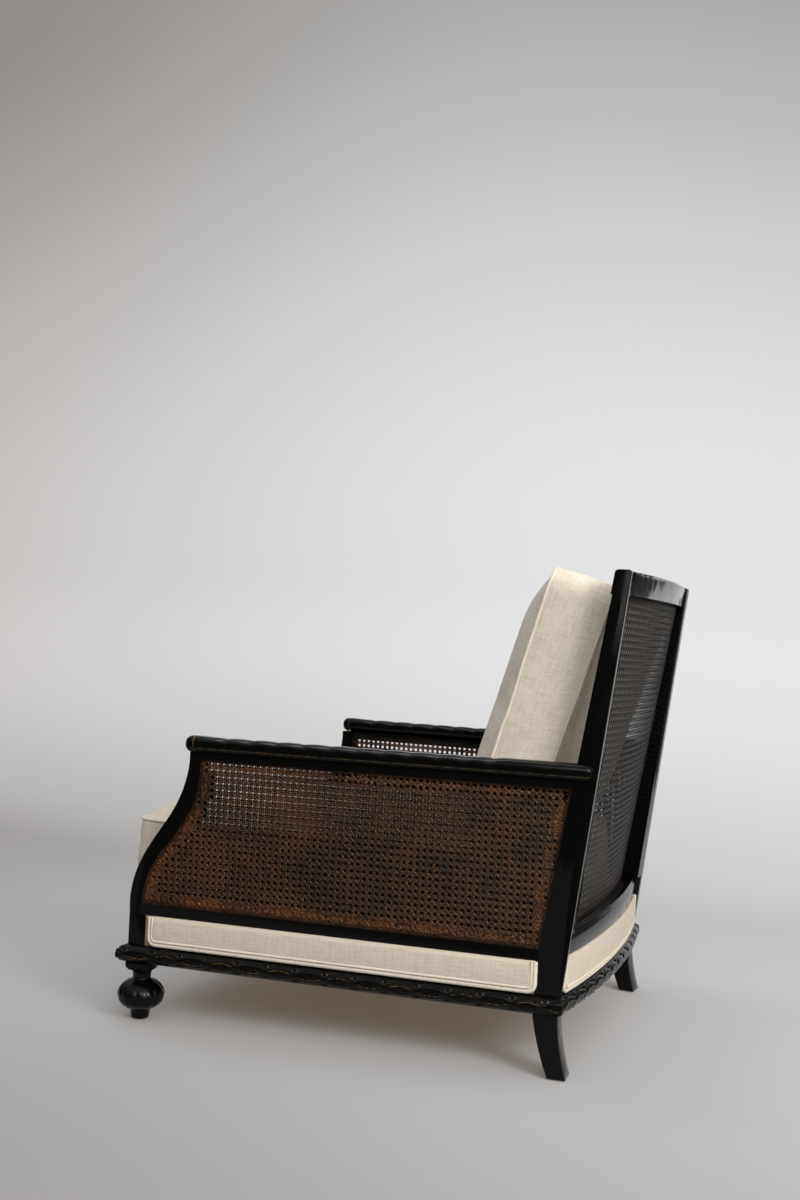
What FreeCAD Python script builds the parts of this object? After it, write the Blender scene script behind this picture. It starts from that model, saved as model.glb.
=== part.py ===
import FreeCAD, Part
import math
import os

# A low ebonised lounge chair with caned sides and back, linen border panels,
# carved ball front feet, sabre back legs and two loose boxed cushions.
# Frame: +Z up, the sitter faces -Y, +X is the sitter's left.
# The origin is the middle of the bottom of the whole chair.
# Heights are above the floor. Depths called "y" count from the front of the front stiles.

V = FreeCAD.Vector
UP = V(0, 0, 1)
ORIGIN = V(0, 0, 0)

# Overall frame
frame_width = 774.8
rear_narrowing = 99.0
side_length = 816.0
frame_height = 860.0
side_thickness = 30.0
origin_setback = 36.075
fit_gap = 0.3
overrun = 20.0

# Heights of the rails
base_z = 106.0
panel_foot_z = 145.5
seat_rail_top_z = 195.0
mid_rail_height = 20.0
arm_foot_z = 501.0
arm_height = 30.0
top_rail_height = 13.0
lower_rail_foot_z = 203.0
lower_rail_height = 39.0
crest_height = 42.0

# Front stile: an S curve in side view
stile_foot_depth = 34.0
stile_neck_depth = 19.5
stile_top_depth = 20.0
stile_top_y = 106.0
stile_thickness = 36.0
stile_front_shares = ((0.0, 0.0), (0.0, 0.1), (0.06, 0.21), (0.375, 0.44), (0.78, 0.665),
                      (0.945, 0.82), (1.0, 0.93), (1.0, 1.0))
stile_inner_shares = ((0.0, 0.0), (0.03, 0.08), (0.21, 0.27), (0.62, 0.48), (0.93, 0.705),
                      (1.0, 0.87), (1.0, 1.0))

# Rear post and sabre leg
post_inset = 48.0
post_lean = 104.0
post_foot_depth = 43.0
post_top_depth = 24.0
post_foot_width = 42.0
post_top_width = 33.0
post_top_round = 4.0
leg_kick = 30.0
leg_foot_depth = 31.0
leg_waist_back = 7.0
leg_front_shares = ((1.0, 0.0), (0.36, 0.52), (0.0, 1.0))
leg_back_shares = ((1.0, 0.0), (0.27, 0.49), (0.0, 1.0))

# Bowed back
bow_radius_share = 3.2137
rear_rail_stand_out = 6.0
rear_rail_depth = 64.0
lower_rail_overhang = 6.0
lower_rail_front_gap = 0.8
lower_rail_step = 3.0
crest_stand_out = 31.0
crest_depth = 24.0
crest_round = 6.0
rear_rail_inset = 63.4

# Front foot
foot_side_inset = 22.5
foot_front_inset = 19.5
foot_dowel_inset = 24.0
plinth_width = 46.0
plinth_height = 14.0
peg_radius = 18.5
peg_tip_radius = 16.5
peg_height = 18.0
ball_radius = 42.5
ball_middle_z = 44.0
neck_radius = 16.5
neck_foot_z = 74.0
cove_radius = 21.0
glide_radius = 9.0
glide_height = 2.0

# Base moulding, a half round
moulding_height = 34.0
moulding_projection = 16.0
moulding_lip = 4.0

# Arms
arm_width = 36.0
arm_stand_out = 11.0
arm_front_y = 97.0
arm_rear_overrun = 31.0
arm_edge_round = 13.0

# Seat rails, blocks and screws
seat_rail_thickness = 26.0
front_rail_thickness = 30.0
front_rail_top_z = 203.0
block_leg = 70.0
block_height = 50.0
screw_radius = 2.5
screw_length = 40.0
screw_head_radius = 5.0
screw_head_height = 3.0
screw_clearance = 0.05
block_screw_setback = 20.0
block_screw_height_shares = (0.3, 0.7)
front_block_screw_share = 0.5
rear_block_screw_share = 0.4
arm_screw_length = 28.0
arm_screw_shares = (0.2, 0.5, 0.8)
dowel_radius = 4.0
dowel_clearance = 0.05
long_dowel = 50.0
short_dowel = 30.0
top_dowel_offset = 5.0
dowel_height_shares = (0.27, 0.72)
cross_dowel_height_shares = (0.46, 0.88)

# Cane and its splines
cane_thickness = 1.6
cane_recess = 6.0
spline_width = 4.5
spline_thickness = 2.0
inset_curve_steps = 8

# Linen panels
panel_thickness = 9.0
panel_edge_round = 4.0
panel_corner_round = 12.0
panel_front_gap = 12.0
panel_rear_gap = 5.0
front_panel_top_z = 238.0
welt_radius = 2.5

# Springs and deck
spring_count = 6
spring_wire_radius = 1.9
spring_bar = 22.0
spring_runs = 20
front_clip_y = 18.0
rear_clip_inset = 51.0
clip_width = 26.0
clip_depth = 14.0
clip_height = 8.0
deck_cloth_thickness = 1.0
deck_top_z = 247.7
deck_side_gap = 8.0
deck_front_y = 4.0
deck_rear_inset = 52.0
deck_edge_round = 8.0
dust_cover_thickness = 1.0
dust_cover_margin = 6.0

# Seat cushion
seat_front_y = -17.0
seat_rear_inset = 54.0
seat_side_gap = 20.0
seat_edge_height = 114.0
seat_crown = 31.0
seat_corner_round = 30.0
seat_draw_share = 0.022
seat_boxing_swell = 4.0
piping_radius = 3.0
# Crown of the seat: height share, then inset shares at the sides, the front and the rear
seat_crown_shares = ((0.0, 0.0, 0.0, 0.0), (0.42, 0.1, 0.06, 0.02), (0.78, 0.28, 0.18, 0.04),
                     (0.94, 0.48, 0.34, 0.06), (1.0, 0.66, 0.52, 0.08))
seat_boxing_shares = (0.0, 0.5, 1.0)

# Back cushion
back_rear_inset = 93.0
back_top_drop = 32.1
back_top_gap = 6.7
back_thickness = 110.0
back_side_inset = 93.4
back_front_dome = 70.0
back_rear_dome = 24.0
back_corner_round = 34.0
back_draw_share = 0.032
back_hidden_foot = 60.0
# Domes of the back cushion: height share, then inset share, from the piping to the middle
back_dome_shares = ((0.0, 0.0), (0.36, 0.1), (0.68, 0.26), (0.9, 0.46), (1.0, 0.64))
dome_corner_share = 0.2

# Worked out from the sizes above
half_front = frame_width / 2
splay = math.degrees(math.asin(rear_narrowing / 2 / side_length))
post_front_y = side_length - post_inset
rear_rail_out_y = side_length + rear_rail_stand_out
lower_rail_out_y = rear_rail_out_y + lower_rail_overhang
crest_out_y = post_front_y + post_lean + crest_stand_out
arm_rear_y = side_length + arm_rear_overrun
rear_clip_y = side_length - rear_clip_inset
deck_rear_y = side_length - deck_rear_inset
seat_rear_y = side_length - seat_rear_inset
back_rear_y = side_length - back_rear_inset
bow_radius = frame_width * bow_radius_share
bow_axis_y = lower_rail_out_y - bow_radius
rear_rail_half_width = half_front - rear_rail_inset
bow_drop = bow_radius - math.sqrt(bow_radius ** 2 - rear_rail_half_width ** 2)
lower_rail_depth = lower_rail_out_y - bow_drop - post_front_y - lower_rail_front_gap
back_half_width = half_front - back_side_inset
mid_rail_top_z = seat_rail_top_z + mid_rail_height
top_rail_foot_z = arm_foot_z - top_rail_height
crest_foot_z = frame_height - crest_height
lower_rail_top_z = lower_rail_foot_z + lower_rail_height
post_rise = frame_height - mid_rail_top_z
lean_slope = post_lean / post_rise
deck_foot_z = front_rail_top_z + clip_height + deck_cloth_thickness
cushion_foot_z = deck_top_z + fit_gap
seat_edge_z = cushion_foot_z + seat_edge_height
seat_top_z = seat_edge_z + seat_crown
back_rise = frame_height - back_top_drop - seat_top_z
back_rear_run = (post_front_y + lean_slope * (seat_top_z + back_rise - mid_rail_top_z)
                 - back_top_gap - back_rear_y)
back_height = math.hypot(back_rise, back_rear_run)
back_lean_angle = math.degrees(math.atan2(back_rear_run, back_rise))
far_y = crest_out_y + frame_width
spring_turn_radius = (rear_clip_y - front_clip_y) / (2 * (spring_runs - 1))


def mirrored(shape):
    return shape.mirror(ORIGIN, V(1, 0, 0))


def on_left(shape):
    """Carry a piece from the flat side drawing to the splayed left side."""
    placed = shape.copy()
    placed.rotate(ORIGIN, UP, splay)
    placed.translate(V(half_front, 0, 0))
    return placed


def on_front(shape):
    """Carry a piece from the flat side drawing to the front, facing -Y."""
    placed = shape.copy()
    placed.rotate(ORIGIN, UP, -90)
    return placed


def largest(shape):
    return max(shape.Solids, key=lambda solid: solid.Volume)


def line(a, b):
    return Part.LineSegment(a, b).toShape()


def arc(a, b, c):
    return Part.Arc(a, b, c).toShape()


def curve(points):
    spline = Part.BSplineCurve()
    spline.interpolate(points)
    return spline.toShape()


def face_of(edges):
    return Part.Face(Part.Wire(Part.__sortEdges__(edges)))


def polygon_face(points):
    return Part.Face(Part.makePolygon(list(points) + [points[0]]))


def box(low, high):
    return Part.makeBox(high.x - low.x, high.y - low.y, high.z - low.z, low)


def stile_points(shares, y_foot, y_top, z_foot):
    rise = arm_foot_z - z_foot
    return [V(0, y_foot + ys * (y_top - y_foot), z_foot + zs * rise) for ys, zs in shares]


def stile_inner_edge():
    """The caned edge of the stile, from the mid rail up to the arm."""
    return curve(stile_points(stile_inner_shares, stile_neck_depth, stile_top_y + stile_top_depth,
                              mid_rail_top_z))


def stile_inner_foot():
    return V(0, stile_neck_depth, mid_rail_top_z)


def stile_inner_top():
    return V(0, stile_top_y + stile_top_depth, arm_foot_z)


def front_stile():
    """Straight beside the linen panel, then an S curve up to the arm."""
    front_foot = V(0, 0, base_z)
    front_bend = V(0, 0, lower_rail_foot_z)
    front_top = V(0, stile_top_y, arm_foot_z)
    shoulder = V(0, stile_foot_depth, seat_rail_top_z)
    inner_foot = V(0, stile_foot_depth, base_z)
    edges = [line(front_foot, front_bend),
             curve(stile_points(stile_front_shares, 0, stile_top_y, lower_rail_foot_z)),
             line(front_top, stile_inner_top()),
             stile_inner_edge(),
             line(stile_inner_foot(), V(0, stile_neck_depth, seat_rail_top_z)),
             line(V(0, stile_neck_depth, seat_rail_top_z), shoulder),
             line(shoulder, inner_foot),
             line(inner_foot, front_foot)]
    return face_of(edges).extrude(V(-stile_thickness, 0, 0))


def post_front(z):
    """Front edge of the rear post at a height above the mid rail."""
    return post_front_y + (z - mid_rail_top_z) * lean_slope


def post_back_foot():
    return post_front_y - leg_waist_back + post_foot_depth


def rear_post():
    """Leaning post on a sabre leg, one plank in side view, thinner on its inside at the top."""
    waist = post_front_y - leg_waist_back
    front = [V(0, waist + ys * leg_kick, zs * base_z) for ys, zs in leg_front_shares]
    foot_kick = leg_kick + leg_foot_depth - post_foot_depth
    back = [V(0, post_back_foot() + ys * foot_kick, zs * base_z) for ys, zs in leg_back_shares]
    front_bend = V(0, post_front_y, mid_rail_top_z)
    front_top = V(0, post_front(frame_height), frame_height)
    back_top = V(0, front_top.y + post_top_depth, frame_height)
    edges = [curve(front), line(front[-1], front_bend), line(front_bend, front_top),
             line(front_top, back_top), line(back_top, back[-1]), curve(back),
             line(back[0], front[0])]
    plank = face_of(edges).extrude(V(-post_foot_width, 0, 0))
    inside = polygon_face([V(0, 0, 0), V(0, 0, frame_height), V(-post_top_width, 0, frame_height),
                           V(-post_foot_width, 0, mid_rail_top_z), V(-post_foot_width, 0, 0)])
    tapered = plank.common(inside.extrude(V(0, far_y, 0)))
    top_edges = [e for e in tapered.Edges
                 if e.BoundBox.ZMin > frame_height - fit_gap and e.BoundBox.XLength > post_top_round]
    return tapered.makeFillet(post_top_round, top_edges)


def side_rail(foot_z, top_z, thickness):
    """A rail of one side frame that runs into the stile and the post, to be cut to them."""
    return box(V(-thickness, 0, foot_z), V(0, post_front(foot_z) + post_top_depth / 2, top_z))


def inset_stile_edge(inset):
    """The caned edge of the stile, moved towards the post by an inset."""
    edge = stile_inner_edge()
    if inset == 0:
        return edge
    first, last = edge.ParameterRange
    points = []
    for n in range(inset_curve_steps + 1):
        at = first + (last - first) * n / inset_curve_steps
        along = edge.tangentAt(at)
        points.append(edge.valueAt(at) + V(0, along.z, -along.y) * inset)
    return curve(points)


def side_outline(inset):
    """Inside of a side frame, between stile curve, top rail, post and mid rail, drawn in all round."""
    edge = inset_stile_edge(inset)
    low = edge.Vertexes[0].Point
    high = edge.Vertexes[-1].Point
    foot = V(0, post_front(low.z), low.z)
    head = V(0, post_front(high.z), high.z)
    sheet = face_of([edge, line(low, foot), line(foot, head), line(head, high)])
    low_z = mid_rail_top_z + inset
    high_z = top_rail_foot_z - inset
    window = polygon_face([V(0, 0, low_z), V(0, post_front(low_z) - inset, low_z),
                           V(0, post_front(high_z) - inset, high_z), V(0, 0, high_z)])
    return sheet.common(window).Faces[0]


def side_sheet(out_at):
    """A thin sheet in the side frame with its outer face at out_at."""
    sheet = side_outline(0).extrude(V(-cane_thickness, 0, 0))
    sheet.translate(V(out_at, 0, 0))
    return sheet


def side_spline(out_at, towards):
    """The strip that wedges the cane into its groove, all round the opening."""
    strip = side_outline(0).extrude(V(towards * spline_thickness, 0, 0))
    strip = strip.cut(side_outline(spline_width).extrude(V(towards * spline_thickness, 0, 0)))
    strip.translate(V(out_at, 0, 0))
    return strip


def half_round():
    """Section of the base moulding, standing out from the flat back at zero."""
    top_z = base_z + moulding_height
    return face_of([line(V(0, 0, base_z), V(moulding_lip, 0, base_z)),
                    arc(V(moulding_lip, 0, base_z),
                        V(moulding_projection, 0, base_z + moulding_height / 2),
                        V(moulding_lip, 0, top_z)),
                    line(V(moulding_lip, 0, top_z), V(0, 0, top_z)),
                    line(V(0, 0, top_z), V(0, 0, base_z))])


def bowed(points, half_width):
    """Sweep a section, drawn in side view at the middle, round the bow of the back."""
    half_angle = math.degrees(math.asin(half_width / bow_radius))
    section = face_of(points) if isinstance(points[0], Part.Edge) else polygon_face(points)
    section.rotate(V(0, bow_axis_y, 0), UP, -half_angle)
    return section.revolve(V(0, bow_axis_y, 0), UP, 2 * half_angle)


def bowed_bar(out_y, depth, foot_z, top_z, slope, half_width):
    rise = (top_z - foot_z) * slope
    return bowed([V(0, out_y - depth, foot_z), V(0, out_y, foot_z),
                  V(0, out_y + rise, top_z), V(0, out_y - depth + rise, top_z)], half_width)


def rear_moulding():
    top_z = base_z + moulding_height
    out = rear_rail_out_y
    strip = bowed([line(V(0, out, base_z), V(0, out + moulding_lip, base_z)),
                   arc(V(0, out + moulding_lip, base_z),
                       V(0, out + moulding_projection, base_z + moulding_height / 2),
                       V(0, out + moulding_lip, top_z)),
                   line(V(0, out + moulding_lip, top_z), V(0, out, top_z)),
                   line(V(0, out, top_z), V(0, out, base_z))], half_front)
    kept = rear_mitre(1)
    return strip.common(kept).common(mirrored(kept))


def beside(corner, towards, side):
    """A large block on one side of the upright mitre plane that runs out from a corner."""
    reach = 2 * frame_width
    low_y = 0 if side > 0 else -reach
    block = box(V(-reach, low_y, 0), V(reach, low_y + reach, frame_height))
    block.rotate(ORIGIN, UP, math.degrees(math.atan2(towards.y, towards.x)))
    block.translate(corner)
    return block


def splay_x():
    return math.sin(math.radians(splay))


def splay_y():
    return math.cos(math.radians(splay))


def bow_y(out_y, x):
    """Depth of a bowed face, out_y at the middle, at a distance x from the middle."""
    radius = out_y - bow_axis_y
    return bow_axis_y + math.sqrt(radius * radius - x * x)


def front_mitre(side):
    return beside(V(half_front, 0, 0), V(splay_y(), splay_x() - 1, 0), side)


def rear_mitre(side):
    x = half_front - rear_rail_out_y * splay_x()
    corner = V(x, bow_y(rear_rail_out_y, x), 0)
    turn = math.asin(x / (rear_rail_out_y - bow_axis_y))
    return beside(corner, V(splay_y() + math.sin(turn), splay_x() + math.cos(turn), 0), side)


def side_moulding():
    strip = half_round().extrude(V(0, far_y + frame_width, 0))
    strip.translate(V(0, -frame_width / 2, 0))
    return on_left(strip).common(front_mitre(1)).common(rear_mitre(-1))


def front_moulding():
    strip = half_round().extrude(V(0, 2 * frame_width, 0))
    strip.translate(V(0, -frame_width, 0))
    kept = front_mitre(-1)
    return on_front(strip).common(kept).common(mirrored(kept))


def lower_rail():
    """Bowed rail with a small bead step along its outer top edge."""
    out = lower_rail_out_y
    return bowed([V(0, out - lower_rail_depth, lower_rail_foot_z), V(0, out, lower_rail_foot_z),
                  V(0, out, lower_rail_top_z - 2 * lower_rail_step),
                  V(0, out - lower_rail_step, lower_rail_top_z - lower_rail_step),
                  V(0, out - lower_rail_step, lower_rail_top_z),
                  V(0, out - lower_rail_depth, lower_rail_top_z)], rear_rail_half_width)


def crest():
    """Leaning bowed rail between the posts, its top edges rounded."""
    bar = bowed_bar(crest_out_y, crest_depth, crest_foot_z, frame_height, lean_slope,
                    back_inside(frame_height) + post_top_width / 2)
    edges = [e for e in bar.Edges
             if e.BoundBox.ZMin > frame_height - fit_gap and e.BoundBox.XLength > crest_depth * 2]
    return bar.makeFillet(crest_round, edges)


def back_window(inset):
    """The opening of the back, narrowed by an inset, as a block through the back."""
    low_z = lower_rail_top_z + inset
    high_z = crest_foot_z - inset
    corners = []
    for z, side in ((low_z, 1), (high_z, 1), (high_z, -1), (low_z, -1)):
        corners.append(V(side * (back_inside(z) - inset), 0, z))
    return polygon_face(corners).extrude(V(0, far_y, 0))


def back_inside(z):
    """Half width between the rear posts at a height."""
    share = (z - mid_rail_top_z) / post_rise
    width = post_foot_width + share * (post_top_width - post_foot_width)
    run = post_front(z) + post_foot_depth / 2
    return (half_front - run * math.sin(math.radians(splay))
            - width * math.cos(math.radians(splay)))


def back_sheet(front_at, thickness):
    """A thin bowed sheet that follows the leaning posts, front_at behind their front edges."""
    out = lower_rail_out_y - lower_rail_depth + front_at + thickness
    return bowed_bar(out, thickness, lower_rail_top_z, crest_foot_z, lean_slope,
                     back_inside(frame_height) + post_top_width / 2)


def front_foot():
    """Square plinth, cove and neck over a carved ball on a short peg."""
    peg_foot = V(peg_tip_radius, 0, glide_height)
    ball_foot = V(peg_radius, 0, peg_height)
    ball_head = V(neck_radius, 0, neck_foot_z)
    plinth_z = base_z - plinth_height
    cove_z = (neck_foot_z + plinth_z) / 2
    profile = face_of([line(V(0, 0, glide_height), peg_foot), line(peg_foot, ball_foot),
                       arc(ball_foot, V(ball_radius, 0, ball_middle_z), ball_head),
                       line(ball_head, V(neck_radius, 0, cove_z)),
                       line(V(neck_radius, 0, cove_z), V(cove_radius, 0, plinth_z)),
                       line(V(cove_radius, 0, plinth_z), V(0, 0, plinth_z)),
                       line(V(0, 0, plinth_z), V(0, 0, glide_height))])
    turned = profile.revolve(ORIGIN, UP, 360)
    half = plinth_width / 2
    foot = turned.fuse(box(V(-half, -half, plinth_z), V(half, half, base_z))).removeSplitter()
    foot.translate(V(half_front - foot_side_inset, foot_front_inset, 0))
    return largest(foot)


def glide():
    return Part.makeCylinder(glide_radius, glide_height)


def arm():
    """Rounded arm rail with a bullet nose at each end, standing proud of the side frame."""
    bar = box(V(arm_stand_out - arm_width, arm_front_y, arm_foot_z),
              V(arm_stand_out, arm_rear_y, arm_foot_z + arm_height))
    return bar.makeFillet(arm_edge_round, bar.Edges)


def linen_panel(start_y, end_y, foot_z, top_z):
    """A thin padded panel with its back on the rail and its lower corners rounded."""
    slab = box(V(0, start_y, foot_z), V(panel_thickness, end_y, top_z))
    corners = [e for e in slab.Edges
               if e.BoundBox.XLength > panel_thickness / 2 and e.BoundBox.ZMax < foot_z + fit_gap]
    slab = slab.makeFillet(panel_corner_round, corners)
    outer = [e for e in slab.Edges if e.BoundBox.XMin > panel_thickness - fit_gap]
    return slab.makeFillet(panel_edge_round, outer)


def tube(path, radius):
    start = path.Edges[0]
    at = start.valueAt(start.FirstParameter)
    along = start.tangentAt(start.FirstParameter)
    ring = Part.Wire(Part.makeCircle(radius, at, along))
    return Part.Wire(path).makePipeShell([ring], True, False)


def linen_welt(start_y, end_y, foot_z, top_z):
    """Self piping down both ends and along the bottom of a linen panel."""
    low_y = start_y - welt_radius
    high_y = end_y + welt_radius
    low_z = foot_z - welt_radius
    turn = panel_corner_round + welt_radius
    bevel = turn * (1 - math.sqrt(0.5))
    path = Part.Wire([line(V(0, low_y, top_z), V(0, low_y, low_z + turn)),
                      arc(V(0, low_y, low_z + turn), V(0, low_y + bevel, low_z + bevel),
                          V(0, low_y + turn, low_z)),
                      line(V(0, low_y + turn, low_z), V(0, high_y - turn, low_z)),
                      arc(V(0, high_y - turn, low_z), V(0, high_y - bevel, low_z + bevel),
                          V(0, high_y, low_z + turn)),
                      line(V(0, high_y, low_z + turn), V(0, high_y, top_z))])
    path.translate(V(welt_radius, 0, 0))
    return tube(path, welt_radius)


def rear_panel_half():
    return rear_rail_half_width - 2 * welt_radius


def rear_panel():
    """The bowed linen panel under the lower rail, its lower corners and outer edge rounded."""
    outer_y = rear_rail_out_y + panel_thickness
    slab = bowed_bar(outer_y, panel_thickness, panel_foot_z, lower_rail_foot_z, 0,
                     rear_panel_half())
    corners = [e for e in slab.Edges
               if e.BoundBox.ZMax < panel_foot_z + fit_gap and e.BoundBox.XLength < panel_thickness]
    slab = slab.makeFillet(panel_corner_round, corners)
    outer = [e for e in slab.Edges if bow_distance(e) > outer_y - bow_axis_y - fit_gap]
    return slab.makeFillet(panel_edge_round, outer)


def bow_distance(edge):
    """How far the nearer end of an edge lies from the axis of the bow."""
    ends = [edge.valueAt(t) for t in (edge.FirstParameter, edge.LastParameter)]
    return min(math.hypot(at.x, at.y - bow_axis_y) for at in ends)


def rear_welt():
    """Piping down both ends and along the bottom of the bowed rear panel."""
    reach = rear_rail_out_y + welt_radius - bow_axis_y
    low_z = panel_foot_z - welt_radius
    turn = panel_corner_round + welt_radius
    bevel = turn * (1 - math.sqrt(0.5))
    swing = (math.asin((rear_panel_half() + welt_radius) / math.hypot(reach, turn))
             - math.atan2(turn, reach))
    ends = []
    for side in (-1, 1):
        low = V(side * reach * math.sin(swing), bow_axis_y + reach * math.cos(swing), low_z)
        along = V(side * math.cos(swing), -math.sin(swing), 0)
        middle = low + along * (turn - bevel) + UP * bevel
        high = low + along * turn + UP * turn
        ends.append((low, middle, high, V(high.x, high.y, lower_rail_foot_z)))
    left, right = ends
    path = Part.Wire([line(left[3], left[2]), arc(left[2], left[1], left[0]),
                      arc(left[0], V(0, bow_axis_y + reach, low_z), right[0]),
                      arc(right[0], right[1], right[2]), line(right[2], right[3])])
    return tube(path, welt_radius)


def zigzag_spring():
    """One flat zigzag spring: cross bars joined by half turns."""
    pitch = 2 * spring_turn_radius
    half_bar = spring_bar / 2
    edges = []
    for run in range(spring_runs):
        side = 1 if run % 2 == 0 else -1
        y = run * pitch
        edges.append(line(V(-side * half_bar, y, 0), V(side * half_bar, y, 0)))
        if run < spring_runs - 1:
            edges.append(arc(V(side * half_bar, y, 0),
                             V(side * (half_bar + spring_turn_radius), y + spring_turn_radius, 0),
                             V(side * half_bar, y + pitch, 0)))
    return tube(Part.Wire(edges), spring_wire_radius)


def spring_clip():
    """A folded clip that holds the end bar of a spring."""
    clip = box(V(-clip_width / 2, -clip_depth / 2, 0), V(clip_width / 2, clip_depth / 2, clip_height))
    bore = Part.makeCylinder(spring_wire_radius + fit_gap / 2, clip_width + 2 * overrun,
                             V(-clip_width / 2 - overrun, 0, clip_height / 2), V(1, 0, 0))
    return clip.cut(bore)


def spring_places():
    """Middle of the front end bar of each spring, evenly spaced across the seat."""
    inside = half_front - side_thickness - rear_narrowing / 2
    step = 2 * inside / spring_count
    return [-inside + step * (n + 0.5) for n in range(spring_count)]


def ring_points(centres, radius, draw_share):
    """Tangent points round a cushion outline: corner arcs joined by sides that pull in."""
    ring = []
    count = len(centres)
    for n in range(count):
        a = centres[n]
        b = centres[(n + 1) % count]
        along = b - a
        half = along.Length / 2
        along.normalize()
        outward = V(along.y, -along.x, 0)
        draw_in = draw_share * half
        reach = (half * half - draw_in * draw_in) / (2 * draw_in)
        hub = (a + b) * 0.5 + outward * reach
        side_radius = reach - radius + draw_in
        leave = a + (hub - a).normalize() * radius
        arrive = b + (hub - b).normalize() * radius
        middle = hub - outward * side_radius
        ring.append((leave, middle, arrive))
    return ring


def cushion_ring(centres, radius, draw_share, height):
    """One closed outline of a cushion at a height, four sides and four corners."""
    sides = ring_points(centres, radius, draw_share)
    edges = []
    for n, (leave, middle, arrive) in enumerate(sides):
        following = sides[(n + 1) % len(sides)][0]
        corner = centres[(n + 1) % len(centres)]
        bisector = ((arrive - corner) + (following - corner)).normalize()
        edges.append(arc(leave, middle, arrive))
        edges.append(arc(arrive, corner + bisector * radius, following))
    wire = Part.Wire(edges)
    wire.translate(V(0, 0, height))
    return wire


def corner_centres(half_front_x, half_rear_x, low_y, high_y, radius):
    return [V(-half_front_x + radius, low_y + radius, 0), V(half_front_x - radius, low_y + radius, 0),
            V(half_rear_x - radius, high_y - radius, 0), V(-half_rear_x + radius, high_y - radius, 0)]


def seat_halves():
    """Half widths of the seat cushion at its front and back edges."""
    inner = half_front - side_thickness - seat_side_gap
    slope = math.tan(math.radians(splay))
    return inner - seat_front_y * slope, inner - seat_rear_y * slope


def seat_ring(height, side_inset, front_inset, rear_inset):
    front_half, rear_half = seat_halves()
    centres = corner_centres(front_half - side_inset, rear_half - side_inset,
                             seat_front_y + front_inset, seat_rear_y - rear_inset,
                             seat_corner_round)
    return cushion_ring(centres, seat_corner_round, seat_draw_share, height)


def seat_cushion():
    """Boxed cushion: straight boxing that swells a little, then a crowned top."""
    rings = []
    for share in seat_boxing_shares:
        swell = seat_boxing_swell * (1 - abs(2 * share - 1))
        rings.append(seat_ring(cushion_foot_z + share * seat_edge_height, -swell, -swell, -swell))
    boxing = Part.makeLoft(rings, True, False)
    half = seat_halves()[1]
    crown_rings = []
    for height, side, front, rear in seat_crown_shares:
        crown_rings.append(seat_ring(seat_edge_z + height * seat_crown, side * half, front * half,
                                     rear * half))
    crown = Part.makeLoft(crown_rings, True, False)
    return largest(boxing.fuse(crown).removeSplitter())


def seat_piping():
    """A piped seam round the bottom and the top of the boxing."""
    loops = []
    front_half, rear_half = seat_halves()
    centres = corner_centres(front_half, rear_half, seat_front_y, seat_rear_y, seat_corner_round)
    reach = seat_corner_round + piping_radius + 2 * fit_gap
    for height in (cushion_foot_z + piping_radius, seat_edge_z):
        loops.append(tube(cushion_ring(centres, reach, seat_draw_share, height), piping_radius))
    return Part.makeCompound(loops)


def back_ring(height, inset_share):
    """Outline of the back cushion, drawn in by a share of its half width and half height."""
    across = inset_share * back_half_width
    upright = inset_share * (back_height + back_hidden_foot) / 2
    radius = back_corner_round + dome_corner_share * upright
    centres = corner_centres(back_half_width - across, back_half_width - across,
                             -back_hidden_foot + upright, back_height - upright, radius)
    return cushion_ring(centres, radius, back_draw_share, height)


def back_placed(shape):
    """Stand the cushion, drawn lying flat, against the back of the chair."""
    placed = shape.copy()
    placed.rotate(ORIGIN, V(1, 0, 0), 90 - back_lean_angle)
    placed.translate(V(0, back_rear_y, seat_top_z))
    return placed


def back_dome(start, rise):
    rings = [back_ring(start + height * rise, inset) for height, inset in back_dome_shares]
    return Part.makeLoft(rings, True, False)


def back_foot_block():
    """Everything below the flat foot of the back cushion, which rests on the seat cushion."""
    foot_z = seat_top_z + fit_gap
    return box(V(-frame_width, 0, 0), V(frame_width, far_y, foot_z))


def back_cushion():
    """Boxed cushion, domed towards the sitter and a little towards the cane."""
    body = Part.Face(back_ring(0, 0)).extrude(V(0, 0, back_thickness))
    body = body.fuse(back_dome(back_thickness, back_front_dome))
    body = body.fuse(back_dome(0, -back_rear_dome)).removeSplitter()
    return largest(back_placed(body).cut(back_foot_block()))


def back_piping():
    loops = []
    centres = corner_centres(back_half_width, back_half_width, -back_hidden_foot, back_height,
                             back_corner_round)
    reach = back_corner_round + piping_radius + fit_gap
    upright = math.radians(90 - back_lean_angle)
    for height in (piping_radius, back_thickness - piping_radius):
        loop = tube(cushion_ring(centres, reach, back_draw_share, height), piping_radius)
        low_end = (fit_gap + piping_radius - height * math.cos(upright)) / math.sin(upright)
        below = box(V(-frame_width, -frame_width, -frame_width),
                    V(frame_width, low_end, frame_width))
        loops.append(back_placed(largest(loop.cut(below))))
    return Part.makeCompound(loops)


def inside_x(y, thickness):
    """Where the inner face of a side member of some thickness lies at a depth."""
    return half_front - y * splay_x() / splay_y() - thickness / splay_y()


def seat_plan(margin, low_y, high_y, low_z, high_z):
    """A flat slab that fills the seat frame between two depths."""
    front_x = inside_x(low_y, margin)
    rear_x = inside_x(high_y, margin)
    plan = polygon_face([V(-front_x, low_y, low_z), V(front_x, low_y, low_z),
                         V(rear_x, high_y, low_z), V(-rear_x, high_y, low_z)])
    return plan.extrude(V(0, 0, high_z - low_z))


def deck_pad():
    slab = seat_plan(side_thickness + deck_side_gap, deck_front_y, deck_rear_y, deck_foot_z,
                     deck_top_z)
    top_edges = [e for e in slab.Edges if e.BoundBox.ZMin > deck_top_z - fit_gap]
    return slab.makeFillet(deck_edge_round, top_edges)


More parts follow.
